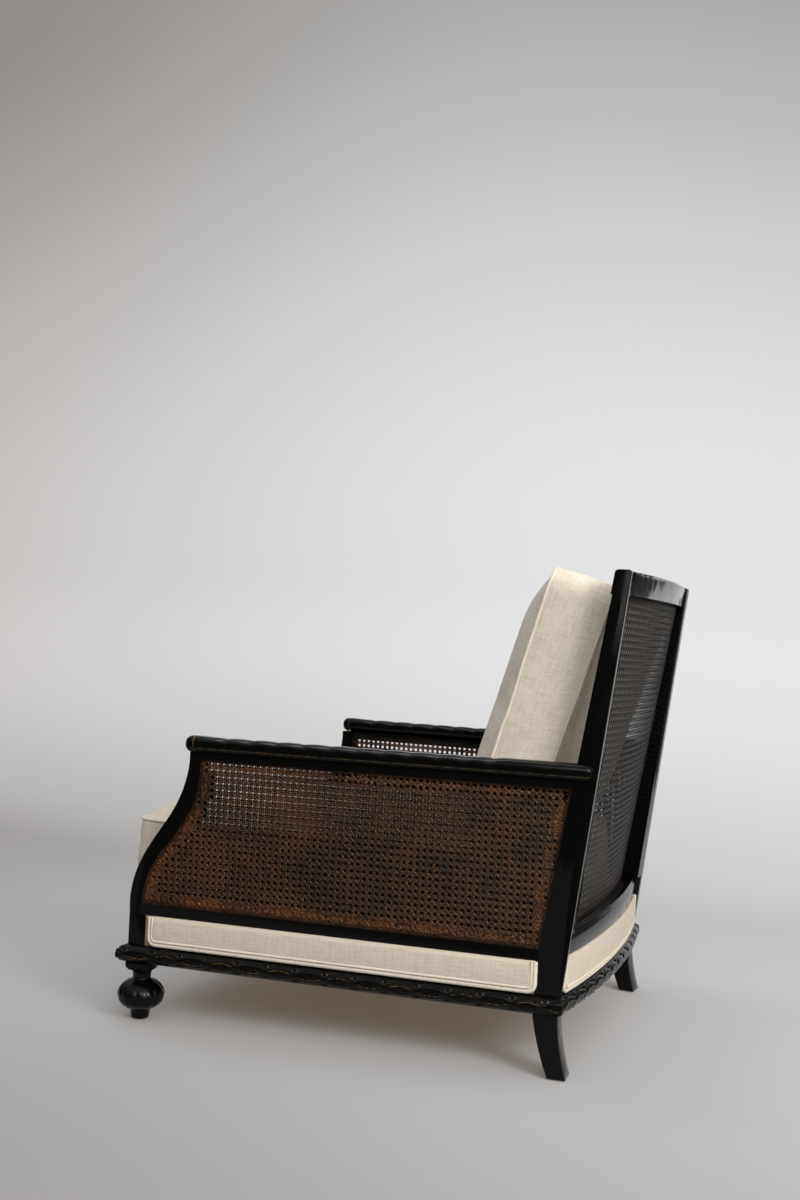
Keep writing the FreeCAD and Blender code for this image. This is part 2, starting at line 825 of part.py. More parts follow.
def deck_cloth():
    return seat_plan(side_thickness + deck_side_gap, deck_front_y, deck_rear_y,
                     deck_foot_z - deck_cloth_thickness, deck_foot_z)


def front_block():
    """Triangular block in the angle of the front rail and a side rail."""
    y = front_rail_thickness
    x = inside_x(y, seat_rail_thickness)
    far = y + block_leg
    plan = polygon_face([V(x, y, base_z), V(inside_x(far, seat_rail_thickness), far, base_z),
                         V(x - block_leg, y, base_z)])
    return plan.extrude(V(0, 0, block_height))


def rear_block():
    """Triangular block in the angle of the rear rail and a side rail, cut to the bow later."""
    y = rear_rail_out_y - rear_rail_depth
    x = inside_x(y, seat_rail_thickness)
    near = y - block_leg
    reach = 2 * block_leg
    plan = polygon_face([V(inside_x(near, seat_rail_thickness), near, base_z),
                         V(x, y, base_z), V(x - reach, y, base_z)])
    return plan.extrude(V(0, 0, block_height))


def peg(at, along, length, radius):
    """A round pin with its middle at a place."""
    return Part.makeCylinder(radius, length, at - along * (length / 2), along)


def side_dowels(radius):
    """Dowels of one side frame, in the flat side drawing."""
    back = V(0, 1, 0)
    rise = seat_rail_top_z - base_z
    post_joint = post_front_y - leg_waist_back
    middle_x = -seat_rail_thickness / 2
    pins = []
    for share in dowel_height_shares:
        z = base_z + share * rise
        pins.append(peg(V(middle_x, stile_foot_depth, z), back, long_dowel, radius))
        pins.append(peg(V(middle_x, post_joint, z), back, long_dowel, radius))
    mid_z = (seat_rail_top_z + mid_rail_top_z) / 2
    pins.append(peg(V(middle_x, stile_neck_depth, mid_z), back, short_dowel, radius))
    pins.append(peg(V(middle_x, post_front_y, mid_z), back, short_dowel, radius))
    top_z = arm_foot_z - top_rail_height / 2
    outer_x, inner_x = middle_x + top_dowel_offset, middle_x - top_dowel_offset
    pins.append(peg(V(outer_x, stile_top_y + stile_top_depth, top_z), back, short_dowel, radius))
    pins.append(peg(V(outer_x, post_front(top_z), top_z), back, short_dowel, radius))
    arm_z = arm_foot_z + arm_height / 2
    pins.append(peg(V(middle_x, post_front(arm_z), arm_z), back, short_dowel, radius))
    pins.append(peg(V(inner_x, stile_top_y + stile_top_depth / 2, arm_foot_z), UP, short_dowel, radius))
    pins.append(peg(V(-foot_dowel_inset, foot_dowel_inset, base_z), UP, short_dowel, radius))
    return on_left(Part.makeCompound(pins))


def cross_dowels(radius):
    """Dowels that join the front rail, the rear rail and the crest to the left posts."""
    across = V(1, 0, 0)
    rise = seat_rail_top_z - base_z
    front_x = inside_x(0, stile_thickness)
    pins = []
    for share in cross_dowel_height_shares:
        z = base_z + share * rise
        pins.append(peg(V(front_x, front_rail_thickness / 2, z), across, long_dowel, radius))
        pins.append(peg(V(back_inside(mid_rail_top_z), rear_dowel_y(), z), across, long_dowel, radius))
    z = crest_foot_z + crest_height / 2
    y = post_front(z) + post_top_depth / 2
    pins.append(peg(V(back_inside(z), y * splay_y(), z), across, short_dowel, radius))
    return Part.makeCompound(pins)


def rear_dowel_y():
    return post_front_y + post_foot_depth / 2 - leg_waist_back


def screw(at, along, length, clearance, access):
    """A headed screw that starts at its head; access adds the bore that the driver needs."""
    shank = Part.makeCylinder(screw_radius + clearance, length, at, along)
    head = Part.makeCylinder(screw_head_radius + clearance, screw_head_height + access,
                             at - along * access, along)
    return shank.fuse(head)


def block_screws(clearance, access):
    """Two screws in each left block, one into the side rail and one across it."""
    low_z, high_z = [base_z + block_height * share for share in block_screw_height_shares]
    outwards = V(splay_y(), splay_x(), 0)
    front_y = front_rail_thickness
    side_y = front_y + block_leg * front_block_screw_share
    front_at = V(inside_x(side_y, seat_rail_thickness) - block_screw_setback, side_y, low_z)
    cross_at = V(inside_x(front_y, seat_rail_thickness) - block_leg / 2,
                 front_y + block_screw_setback, high_z)
    rear_y = rear_rail_out_y - rear_rail_depth
    side_y = rear_y - block_leg * rear_block_screw_share
    rear_at = V(inside_x(side_y, seat_rail_thickness) - block_screw_setback, side_y, low_z)
    last_x = inside_x(rear_y, seat_rail_thickness) - block_leg
    last_at = V(last_x, bow_y(rear_rail_out_y, last_x) - rear_rail_depth - block_screw_setback,
                high_z)
    return Part.makeCompound([
        screw(front_at, outwards, screw_length, clearance, access),
        screw(cross_at, V(0, -1, 0), screw_length, clearance, access),
        screw(rear_at, outwards, screw_length, clearance, access),
        screw(last_at, V(0, 1, 0), screw_length, clearance, access)])


def arm_screws(clearance, access):
    """Screws up through the rail under the arm."""
    start = stile_top_y + stile_top_depth
    run = post_front(arm_foot_z) - start
    pins = []
    for share in arm_screw_shares:
        at = V(-seat_rail_thickness / 2, start + share * run, top_rail_foot_z)
        pins.append(screw(at, UP, arm_screw_length, clearance, access))
    return on_left(Part.makeCompound(pins))


def build():
    """Every piece of the chair by name, in the order it would be put together."""
    parts = {}

    def add_pair(name, left_shape):
        parts[name + "_left"] = left_shape
        parts[name + "_right"] = mirrored(left_shape)

    side_holes = side_dowels(dowel_radius + dowel_clearance)
    cross_holes = cross_dowels(dowel_radius + dowel_clearance)
    block_holes = block_screws(screw_clearance, block_leg)
    arm_holes = arm_screws(screw_clearance, 0)
    holes = [side_holes, cross_holes]

    back_lap = bowed_bar(far_y, far_y - rear_rail_out_y, base_z, lower_rail_top_z, 0,
                         rear_rail_half_width)
    floor_block = box(V(-frame_width, 0, 0), V(frame_width, far_y, glide_height))
    post = on_left(rear_post()).cut(back_lap).cut(floor_block)
    stile = on_left(front_stile())
    foot = front_foot()
    posts = [post, mirrored(post)]
    stiles = [stile, mirrored(stile)]

    side_members = {
        "side_seat_rail": (base_z, seat_rail_top_z, seat_rail_thickness),
        "side_mid_rail": (seat_rail_top_z, mid_rail_top_z, side_thickness),
        "side_top_rail": (top_rail_foot_z, arm_foot_z, side_thickness)}
    side_rails = []
    for name, (foot_z, top_z, thickness) in side_members.items():
        rail = on_left(side_rail(foot_z, top_z, thickness))
        rail = largest(rail.cut(stile).cut(post))
        side_rails += [rail, mirrored(rail)]
        add_pair(name, largest(rail.cut(holes + [block_holes, arm_holes])))

    front_rail = seat_plan(stile_thickness, 0, front_rail_thickness, base_z, front_rail_top_z)
    rear_rail = bowed_bar(rear_rail_out_y, rear_rail_depth, base_z, lower_rail_foot_z, 0,
                          rear_rail_half_width)
    rear_rail = largest(rear_rail.cut(posts + side_rails))
    top_rail = largest(crest().cut(posts))
    both_cross = [cross_holes, mirrored(cross_holes)]
    both_blocks = [block_holes, mirrored(block_holes)]
    parts["front_seat_rail"] = largest(front_rail.cut(both_cross + both_blocks))
    parts["rear_seat_rail"] = largest(rear_rail.cut(both_cross + both_blocks))
    parts["lower_back_rail"] = largest(lower_rail().cut(posts))
    parts["crest_rail"] = largest(top_rail.cut(both_cross))

    add_pair("front_stile", largest(stile.cut(holes)))
    add_pair("rear_post", largest(post.cut(holes)))
    add_pair("front_foot", largest(foot.cut(side_holes)))
    armrest = largest(on_left(arm()).cut(post))
    add_pair("arm", largest(armrest.cut(holes + [arm_holes])))

    front_corner = front_block().cut(stile).cut(block_holes)
    rear_corner = rear_block().cut([rear_rail, post]).cut(block_holes)
    blocks = [largest(front_corner), largest(rear_corner)]
    parts["corner_blocks"] = Part.makeCompound(blocks + [mirrored(b) for b in blocks])

    add_pair("base_moulding", largest(side_moulding().cut([post, stile])))
    parts["base_moulding_front"] = largest(front_moulding().cut(stiles))
    parts["base_moulding_rear"] = largest(rear_moulding().cut(posts))

    cane_in = cane_thickness + cane_recess - side_thickness
    add_pair("side_cane_outer", on_left(side_sheet(-cane_recess)))
    add_pair("side_cane_inner", on_left(side_sheet(cane_in)))
    strips = [on_left(side_spline(-cane_recess, 1)),
              on_left(side_spline(cane_in - cane_thickness, -1))]
    add_pair("side_cane_splines", Part.makeCompound([largest(s) for s in strips]))
    back_front_at = cane_recess / 2
    cane = back_sheet(back_front_at, cane_thickness)
    parts["back_cane"] = largest(cane.cut(posts))
    strip = back_sheet(back_front_at + cane_thickness, spline_thickness)
    parts["back_cane_splines"] = largest(largest(strip.cut(posts)).cut(back_window(spline_width)))

    side_end = post_front_y - panel_rear_gap
    side_start = stile_foot_depth + panel_front_gap
    side_size = (side_start, side_end, panel_foot_z, seat_rail_top_z)
    add_pair("side_panel", on_left(linen_panel(*side_size)))
    add_pair("side_panel_welt", on_left(linen_welt(*side_size)))
    front_half = inside_x(0, stile_thickness) - panel_front_gap
    front_size = (-front_half, front_half, panel_foot_z, front_panel_top_z)
    parts["front_panel"] = on_front(linen_panel(*front_size))
    parts["front_panel_welt"] = on_front(linen_welt(*front_size))
    parts["rear_panel"] = largest(rear_panel().cut(posts))
    parts["rear_panel_welt"] = largest(rear_welt().cut(posts))

    springs = []
    clips = []
    for x in spring_places():
        spring = zigzag_spring()
        spring.translate(V(x, front_clip_y, front_rail_top_z + clip_height / 2))
        springs.append(spring)
        for y in (front_clip_y, rear_clip_y):
            clip = spring_clip()
            clip.translate(V(x, y, front_rail_top_z))
            clips.append(clip)
    parts["seat_springs"] = Part.makeCompound(springs)
    parts["spring_clips"] = Part.makeCompound(clips)
    parts["deck_cloth"] = deck_cloth()
    parts["deck_pad"] = deck_pad()
    cover = seat_plan(dust_cover_margin, dust_cover_margin, rear_rail_out_y - rear_rail_depth / 2,
                      base_z - dust_cover_thickness, base_z)
    parts["dust_cover"] = largest(cover.cut(posts + [foot, mirrored(foot)]))

    left_pins = [side_dowels(dowel_radius), cross_dowels(dowel_radius)]
    parts["dowels"] = Part.makeCompound(left_pins + [mirrored(p) for p in left_pins])
    left_screws = [block_screws(0, 0), arm_screws(0, 0)]
    parts["screws"] = Part.makeCompound(left_screws + [mirrored(p) for p in left_screws])

    glides = []
    rear_x = half_front - side_length * splay_x() - post_foot_width / 2
    rear_glide_y = post_front_y - leg_waist_back + leg_kick + leg_foot_depth / 2
    for x, y in ((half_front - foot_side_inset, foot_front_inset), (rear_x, rear_glide_y)):
        disc = glide()
        disc.translate(V(x, y, 0))
        glides += [disc, mirrored(disc)]
    parts["foot_glides"] = Part.makeCompound(glides)

    parts["seat_cushion"] = seat_cushion()
    parts["seat_cushion_piping"] = seat_piping()
    parts["back_cushion"] = back_cushion()
    parts["back_cushion_piping"] = back_piping()
    return parts


os.makedirs("parts", exist_ok=True)
chair = build()
to_origin = V(0, -side_length / 2 - origin_setback, 0)
for name, shape in chair.items():
    shape.translate(to_origin)
    shape.exportStep("parts/" + name + ".step")
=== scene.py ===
import math

import bpy
import bmesh
from mathutils import Matrix, Vector, noise


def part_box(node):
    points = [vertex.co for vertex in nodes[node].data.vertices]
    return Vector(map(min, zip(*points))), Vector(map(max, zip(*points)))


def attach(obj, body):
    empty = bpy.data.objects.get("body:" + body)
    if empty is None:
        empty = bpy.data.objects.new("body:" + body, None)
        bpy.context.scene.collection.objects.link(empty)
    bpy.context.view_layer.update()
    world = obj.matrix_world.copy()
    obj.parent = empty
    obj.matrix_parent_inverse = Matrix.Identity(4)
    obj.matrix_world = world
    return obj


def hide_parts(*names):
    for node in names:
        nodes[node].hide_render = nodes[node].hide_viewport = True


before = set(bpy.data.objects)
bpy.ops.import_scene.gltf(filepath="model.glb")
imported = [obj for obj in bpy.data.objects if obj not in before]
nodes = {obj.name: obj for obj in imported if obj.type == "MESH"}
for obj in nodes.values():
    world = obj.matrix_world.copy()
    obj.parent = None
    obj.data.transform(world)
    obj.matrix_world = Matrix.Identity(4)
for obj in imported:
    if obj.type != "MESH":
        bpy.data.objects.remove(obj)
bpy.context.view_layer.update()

# Sizes of the chair, in metres. Depth 0 in a side drawing is the front face of the stiles.
DRAWING_Y = -0.4441
HALF_FRONT = 0.3874
SPLAY = math.asin(0.0495 / 0.816)
BASE_Z = 0.106
CANE_PITCH = 0.012
CARVE_PITCH = 0.056
REAR_FACE, BACK_PLANE = 0.822, 0.828
BOW_RADIUS = 2.48997
BOW_AXIS_Y = BACK_PLANE - BOW_RADIUS + DRAWING_Y
SIDES = ((1, "left"), (-1, "right"))


def side_place(out, along, height, side=1):
    """A point of the flat side drawing, carried to the splayed left side, or mirrored."""
    x = HALF_FRONT + out * math.cos(SPLAY) - along * math.sin(SPLAY)
    y = out * math.sin(SPLAY) + along * math.cos(SPLAY) + DRAWING_Y
    return Vector((side * x, y, height))


def front_place(out, across, height):
    """A point of the flat front drawing, out towards the sitter's feet."""
    return Vector((across, DRAWING_Y - out, height))


def smooth(t):
    t = min(max(t, 0.0), 1.0)
    return t * t * (3 - 2 * t)


# Nodes of the finishes and of the woven cane


class Graph:
    """Adds nodes to a material, group or geometry tree and joins them."""

    def __init__(self, tree):
        self.tree = tree

    def set(self, socket, value):
        if isinstance(value, bpy.types.NodeSocket):
            self.tree.links.new(value, socket)
        else:
            socket.default_value = value

    def fill(self, sockets, values):
        for key, value in values.items():
            self.set(sockets[key], value)

    def node(self, kind, inputs=None, **settings):
        made = self.tree.nodes.new(kind)
        for key, value in settings.items():
            setattr(made, key, value)
        self.fill(made.inputs, inputs or {})
        return made

    def math(self, operation, *values, clamp=False):
        return self.node("ShaderNodeMath", dict(enumerate(values)), operation=operation,
                         use_clamp=clamp).outputs[0]

    def plus(self, first, second):
        return self.math("ADD", first, second)

    def minus(self, first, second):
        return self.math("SUBTRACT", first, second)

    def times(self, first, second):
        return self.math("MULTIPLY", first, second)

    def dot(self, first, second):
        return self.node("ShaderNodeVectorMath", {0: first, 1: second},
                         operation="DOT_PRODUCT").outputs["Value"]

    def split(self, vector):
        return self.node("ShaderNodeSeparateXYZ", {0: vector}).outputs

    def mix(self, factor, first, second):
        return self.node("ShaderNodeMix", {0: factor, 6: first, 7: second}, data_type="RGBA").outputs[2]

    def ramp(self, value, low, high, to_low=0.0, to_high=1.0):
        return self.node("ShaderNodeMapRange", dict(enumerate((value, low, high, to_low, to_high))),
                         interpolation_type="SMOOTHSTEP").outputs[0]

    def noise(self, vector, scale, detail=2.0, rough=0.5):
        return self.node("ShaderNodeTexNoise", {"Vector": vector, "Scale": scale, "Detail": detail,
                                                "Roughness": rough}).outputs[0]

    def stretched(self, vector, scale):
        return self.node("ShaderNodeMapping", {"Vector": vector, "Scale": scale}).outputs[0]

    def group(self, group, **values):
        return self.node("ShaderNodeGroup", values, node_tree=group).outputs


def new_group(name, colors, amounts):
    """A shader group. In go a place, colours and amounts; out come colour, height and roughness."""
    tree = bpy.data.node_groups.new(name, "ShaderNodeTree")

    def socket(label, way, kind):
        return tree.interface.new_socket(label, in_out=way, socket_type="NodeSocket" + kind)

    socket("Vector", "INPUT", "Vector")
    for label in colors:
        socket(label, "INPUT", "Color")
    for label, amount in amounts.items():
        socket(label, "INPUT", "Float").default_value = amount
    for label, kind in (("Color", "Color"), ("Height", "Float"), ("Roughness", "Float")):
        socket(label, "OUTPUT", kind)
    graph = Graph(tree)
    return graph, graph.node("NodeGroupInput").outputs, graph.node("NodeGroupOutput").inputs


def linen_group():
    """Slubby plain weave: two colours mixed by threads, slubs and soft mottling."""
    g, given, out = new_group("linen weave", ("Light", "Dark"), {"Thread": 0.0011, "Slub": 0.5})
    place = given["Vector"]
    per_metre = g.math("DIVIDE", 6.2832, given["Thread"])
    wander = g.times(g.noise(place, 30.0, 2.0), 0.006)
    warp, weft = [g.math("SINE", g.times(g.plus(axis, wander), per_metre)) for axis in g.split(place)[:2]]
    threads = g.times(warp, weft)
    along, across = [g.noise(g.stretched(place, scale), 1.0, 3.0, 0.65)
                     for scale in ((26.0, 420.0, 1.0), (420.0, 26.0, 1.0))]
    slubs = g.plus(g.ramp(along, 0.42, 0.72), g.ramp(across, 0.42, 0.72))
    mottle = g.noise(place, 14.0, 4.0, 0.6)
    shade = g.math("ADD", g.plus(g.times(threads, 0.10), g.times(mottle, 0.35)),
                   g.times(slubs, given["Slub"]), clamp=True)
    g.fill(out, {"Color": g.mix(shade, given["Light"], given["Dark"]),
                 "Height": g.plus(g.times(threads, 0.5), g.times(slubs, 0.5)),
                 "Roughness": g.ramp(mottle, 0.3, 0.7, 0.85, 0.95)})
    return g.tree


def lacquer_group():
    """Black lacquer: faint grain, fine dust and rubbed patches."""
    g, given, out = new_group("rubbed lacquer", ("Black", "Rubbed"), {"Wear": 0.3, "Gloss": 0.15})
    place = given["Vector"]
    grain = g.noise(g.stretched(place, (260.0, 12.0, 260.0)), 1.0, 3.0, 0.6)
    patches = g.noise(place, 23.0, 4.0, 0.65)
    rubbed = g.times(g.ramp(patches, 0.62, 0.78), given["Wear"])
    dust = g.times(g.ramp(g.noise(place, 900.0, 1.0), 0.66, 0.75), 0.04)
    g.fill(out, {"Color": g.mix(g.plus(rubbed, dust), given["Black"], given["Rubbed"]),
                 "Height": g.plus(grain, g.times(patches, 0.6)),
                 "Roughness": g.plus(given["Gloss"], g.times(g.ramp(patches, 0.35, 0.7), 0.12))})
    return g.tree


def fibre_group():
    """Stained cane: strand to strand colour change, darker stain patches, and fine specks of a bright colour
    that are painted glints, partly worn fibre.
    """
    g, given, out = new_group("stained fibre", ("Dark", "Warm", "Bright"), {"Warmth": 0.5})
    place = given["Vector"]
    strands = g.noise(place, 210.0, 2.0, 0.6)
    patches = g.noise(place, 9.0, 4.0, 0.6)
    glints = g.noise(place, 420.0, 1.0)
    warm = g.times(g.ramp(g.plus(strands, g.times(patches, 0.7)), 0.70, 1.05), given["Warmth"])
    # Painted highlight: fine specks mixed towards the bright colour stand in for glints on the strands,
    # partly worn fibre.
    worn_and_glint = g.times(g.ramp(glints, 0.60, 0.78), given["Warmth"])
    g.fill(out, {"Color": g.mix(worn_and_glint, g.mix(warm, given["Dark"], given["Warm"]), given["Bright"]),
                 "Height": glints, "Roughness": g.ramp(strands, 0.3, 0.7, 0.30, 0.5)})
    return g.tree


LINEN, LACQUER, FIBRE = linen_group(), lacquer_group(), fibre_group()


def material(name):
    """A material with one bare shader: the material, its graph and the shader's inputs."""
    made = bpy.data.materials.new(name)
    made.use_nodes = True
    made.node_tree.nodes.clear()
    graph = Graph(made.node_tree)
    shader = graph.node("ShaderNodeBsdfPrincipled")
    graph.node("ShaderNodeOutputMaterial", {0: shader.outputs[0]})
    return made, graph, shader.inputs


def object_place(graph):
    return graph.node("ShaderNodeTexCoord").outputs["Object"]


def uv_place(graph):
    return graph.node("ShaderNodeUVMap", uv_map="finish").outputs[0]


def attribute(graph, name):
    return graph.node("ShaderNodeAttribute", attribute_name=name).outputs["Fac"]


def bump(graph, height, distance, strength):
    return graph.node("ShaderNodeBump", {"Height": height, "Distance": distance,
                                         "Strength": strength}).outputs[0]


def lacquer(name, gloss=0.12, wear=0.3, gilding=None):
    """Ebonised wood. gilding(graph, uv) gives a mask of gilt lines where a piece has them."""
    made, g, shader = material(name)
    worn = g.group(LACQUER, Vector=object_place(g), Black=(0.0020, 0.0018, 0.0017, 1),
                   Rubbed=(0.016, 0.010, 0.006, 1), Wear=wear, Gloss=gloss)
    color, rough = worn["Color"], worn["Roughness"]
    if gilding:
        patch = g.ramp(g.noise(object_place(g), 160.0, 3.0, 0.7), 0.40, 0.62, 0.03, 0.8)
        mask = g.times(gilding(g, uv_place(g)), patch)
        color = g.mix(mask, color, (0.26, 0.155, 0.060, 1))
        rough = g.plus(rough, g.times(mask, 0.25))
        g.set(shader["Metallic"], g.times(mask, 0.75))
    g.fill(shader, {"Base Color": color, "Roughness": rough, "Specular IOR Level": 0.16,
                    "Normal": bump(g, worn["Height"], 0.0001, 0.35)})
    return made


def line_mask(g, value, middle, half_width):
    away = g.math("ABSOLUTE", g.minus(value, middle))
    return g.ramp(away, half_width * 0.55, half_width, 1.0, 0.0)


def linen(name, light=(0.82, 0.755, 0.650, 1), dark=(0.50, 0.42, 0.315, 1), slub=0.36):
    """Linen whose threads follow the finish map of the piece."""
    made, g, shader = material(name)
    cloth = g.group(LINEN, Vector=uv_place(g), Light=light, Dark=dark, Slub=slub)
    g.fill(shader, {"Base Color": cloth["Color"], "Roughness": cloth["Roughness"],
                    "Normal": bump(g, cloth["Height"], 0.0004, 0.6), "Sheen Weight": 0.25,
                    "Sheen Roughness": 0.5, "Specular IOR Level": 0.2})
    return made


def cane(name, dark, warm, worn_and_glint, warmth, specular):
    """Stained cane, warmer on slanting strands and by the rim. Its bright colour is painted glint (on the
    side cane also worn fibre), and painted shade darkens it where it faces its twin sheet.
    """
    made, g, shader = material(name)
    orange = g.plus(g.times(attribute(g, "slant"), 0.9), g.times(attribute(g, "rim"), 0.6))
    fibre = g.group(FIBRE, Vector=object_place(g), Dark=dark, Warm=warm, Bright=worn_and_glint,
                    Warmth=g.times(g.plus(orange, 0.38), warmth))
    # Painted shade: faces that look into the gap between the two sheets are darkened nearly to black.
    gap = g.times(attribute(g, "gap"), 0.93)
    g.fill(shader, {"Base Color": g.mix(gap, fibre["Color"], (0.004, 0.003, 0.002, 1)),
                    "Roughness": fibre["Roughness"], "Specular IOR Level": specular,
                    "Normal": bump(g, fibre["Height"], 0.0002, 0.5)})
    return made


def plain(name, color, second, scale, rough, metallic=0.0):
    """Metal, nylon, wood or lining cloth that hardly shows."""
    made, g, shader = material(name)
    spots = g.noise(object_place(g), scale, 3.0, 0.6)
    g.fill(shader, {"Base Color": g.mix(g.ramp(spots, 0.35, 0.65), color, second), "Metallic": metallic,
                    "Roughness": g.ramp(spots, 0.3, 0.7, rough, rough + 0.12),
                    "Normal": bump(g, spots, 0.0002, 0.4)})
    return made


def wave_gilding(g, uv):
    """A broken wavy line, above and below the middle by turns, and a pair of dots where it crosses."""
    along, round_it = g.split(uv)[:2]
    swing = g.math("SINE", g.times(along, math.pi / CARVE_PITCH))
    line = line_mask(g, round_it, g.times(swing, -0.0052), 0.00075)
    line = g.times(line, g.ramp(g.math("ABSOLUTE", swing), 0.30, 0.50))
    cell = g.minus(g.math("FRACT", g.plus(g.math("DIVIDE", along, CARVE_PITCH), 0.5)), 0.5)
    beside = g.minus(g.math("ABSOLUTE", g.times(cell, CARVE_PITCH)), 0.0045)
    high = g.minus(round_it, 0.0095)
    away = g.math("SQRT", g.plus(g.math("POWER", beside, 2.0), g.math("POWER", high, 2.0)))
    return g.math("MAXIMUM", line, g.ramp(away, 0.0009, 0.0018, 1.0, 0.0))


def arm_gilding(g, uv):
    """Two rings by the front end and a faint line along the lower edge."""
    along, round_it = g.split(uv)[:2]
    rings = g.math("MAXIMUM", line_mask(g, along, 0.103, 0.0009), line_mask(g, along, 0.116, 0.0009))
    return g.math("MAXIMUM", rings, g.times(line_mask(g, round_it, 0.0085, 0.0007), 0.6))


wood_black = lacquer("ebonised wood")
wood_polished = lacquer("ebonised wood, polished", gloss=0.05, wear=0.15)
wood_moulding = lacquer("ebonised wood, carved and gilt", gloss=0.14, wear=0.5, gilding=wave_gilding)
wood_arm = lacquer("ebonised wood, gilt lines", gloss=0.10, wear=0.35, gilding=arm_gilding)
wood_inner = plain("beech of the seat frame", (0.36, 0.23, 0.12, 1), (0.27, 0.17, 0.09, 1), 60.0, 0.6)
# The third colour of each cane is painted glint: orange on the side cane, partly worn fibre, and whitish
# rows on the back cane.
cane_side = cane("stained cane", (0.009, 0.006, 0.004, 1), (0.14, 0.049, 0.014, 1),
                 (0.44, 0.20, 0.064, 1), 0.60, 0.2)
cane_back = cane("dark stained cane", (0.008, 0.0075, 0.007, 1), (0.016, 0.012, 0.010, 1),
                 (0.24, 0.225, 0.20, 1), 0.55, 0.6)
linen_seat = linen("linen, seat cushion")
linen_back = linen("linen, back cushion")
linen_panel = linen("linen, frame panels", light=(0.70, 0.635, 0.535, 1), dark=(0.43, 0.355, 0.265, 1))
linen_cord = linen("linen, piping", slub=0.3)
lining = plain("cotton lining", (0.62, 0.58, 0.50, 1), (0.55, 0.50, 0.42, 1), 400.0, 0.85)
dust_cloth = plain("black dust cloth", (0.022, 0.022, 0.022, 1), (0.035, 0.034, 0.032, 1), 600.0, 0.85)
steel = plain("spring steel", (0.42, 0.42, 0.43, 1), (0.30, 0.29, 0.28, 1), 80.0, 0.35, 1.0)
nylon = plain("glide nylon", (0.10, 0.095, 0.09, 1), (0.13, 0.12, 0.11, 1), 120.0, 0.5)

# Meshes


def placed(name, data):
    made = bpy.data.objects.new(name, data)
    bpy.context.scene.collection.objects.link(made)
    return made


def coat(piece, finish):
    """Give a piece one finish in place of what it had."""
    piece.data.materials.clear()
    piece.data.materials.append(finish)
    return piece


def shade_smooth(mesh):
    mesh.polygons.foreach_set("use_smooth", [True] * len(mesh.polygons))


def from_bmesh(name, bm, finish):
    mesh = bpy.data.meshes.new(name)
    bm.to_mesh(mesh)
    bm.free()
    shade_smooth(mesh)
    return coat(placed(name, mesh), finish)


def settle(piece):
    """Apply what is on a piece, so that a plain mesh is left."""
    graph = bpy.context.evaluated_depsgraph_get()
    made = bpy.data.meshes.new_from_object(piece.evaluated_get(graph), depsgraph=graph)
    old = piece.data
    piece.modifiers.clear()
    piece.data = made
    bpy.data.meshes.remove(old)


def ready(piece, body, stands_for):
    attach(piece, body)
    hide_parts(stands_for)


def eased(node, finish, width):
    """A copy of a CAD piece with its doubled points merged and its edges worn round."""
    bm = bmesh.new()
    bm.from_mesh(nodes[node].data)
    bmesh.ops.remove_doubles(bm, verts=bm.verts, dist=0.00002)
    bmesh.ops.dissolve_degenerate(bm, dist=0.00002, edges=bm.edges)
    bmesh.ops.dissolve_limit(bm, angle_limit=math.radians(0.6), verts=bm.verts, edges=bm.edges,
                             delimit={"SHARP"})
    piece = from_bmesh(node + "_eased", bm, finish)
    bevel = piece.modifiers.new("worn edges", "BEVEL")
    bevel.width, bevel.segments, bevel.limit_method = width, 3, "ANGLE"
    bevel.angle_limit, bevel.harden_normals = math.radians(28), True
    bevel.use_clamp_overlap = True
    settle(piece)
    ready(piece, "frame", node)


def add_face(bm, corners, layer=None, marks=()):
    """A face between points, with the place of each corner on the finish map."""
    face = bm.faces.new(corners)
    for loop, mark in zip(face.loops, marks):
        loop[layer].uv = mark


def square(i, j):
    return (i, j), (i, j + 1), (i + 1, j + 1), (i + 1, j)


def strip_mesh(name, rows, finish, close_round=False, close_ends=False, uv=None):
    """Quads between rows of points. uv(i, j) gives the finish map of row i and point j."""
    bm = bmesh.new()
    made = [[bm.verts.new(p) for p in row] for row in rows]
    layer = bm.loops.layers.uv.new("finish") if uv else None
    count = len(rows[0])

    def add(points, places):
        add_face(bm, points, layer, [uv(*place) for place in places] if uv else ())

    for i in range(len(rows) - 1):
        for j in range(count if close_round else count - 1):
            k = (j + 1) % count
            add((made[i][j], made[i][k], made[i + 1][k], made[i + 1][j]), square(i, j))
    if close_ends:
        for row, where in ((made[0], 0), (made[-1], len(rows) - 1)):
            middle = bm.verts.new(sum((v.co for v in row), Vector()) / len(row))
            for j in range(count):
                add((row[j], row[(j + 1) % count], middle), ((where, j), (where, j + 1), (where, j)))
    bmesh.ops.recalc_face_normals(bm, faces=bm.faces)
    return from_bmesh(name, bm, finish)


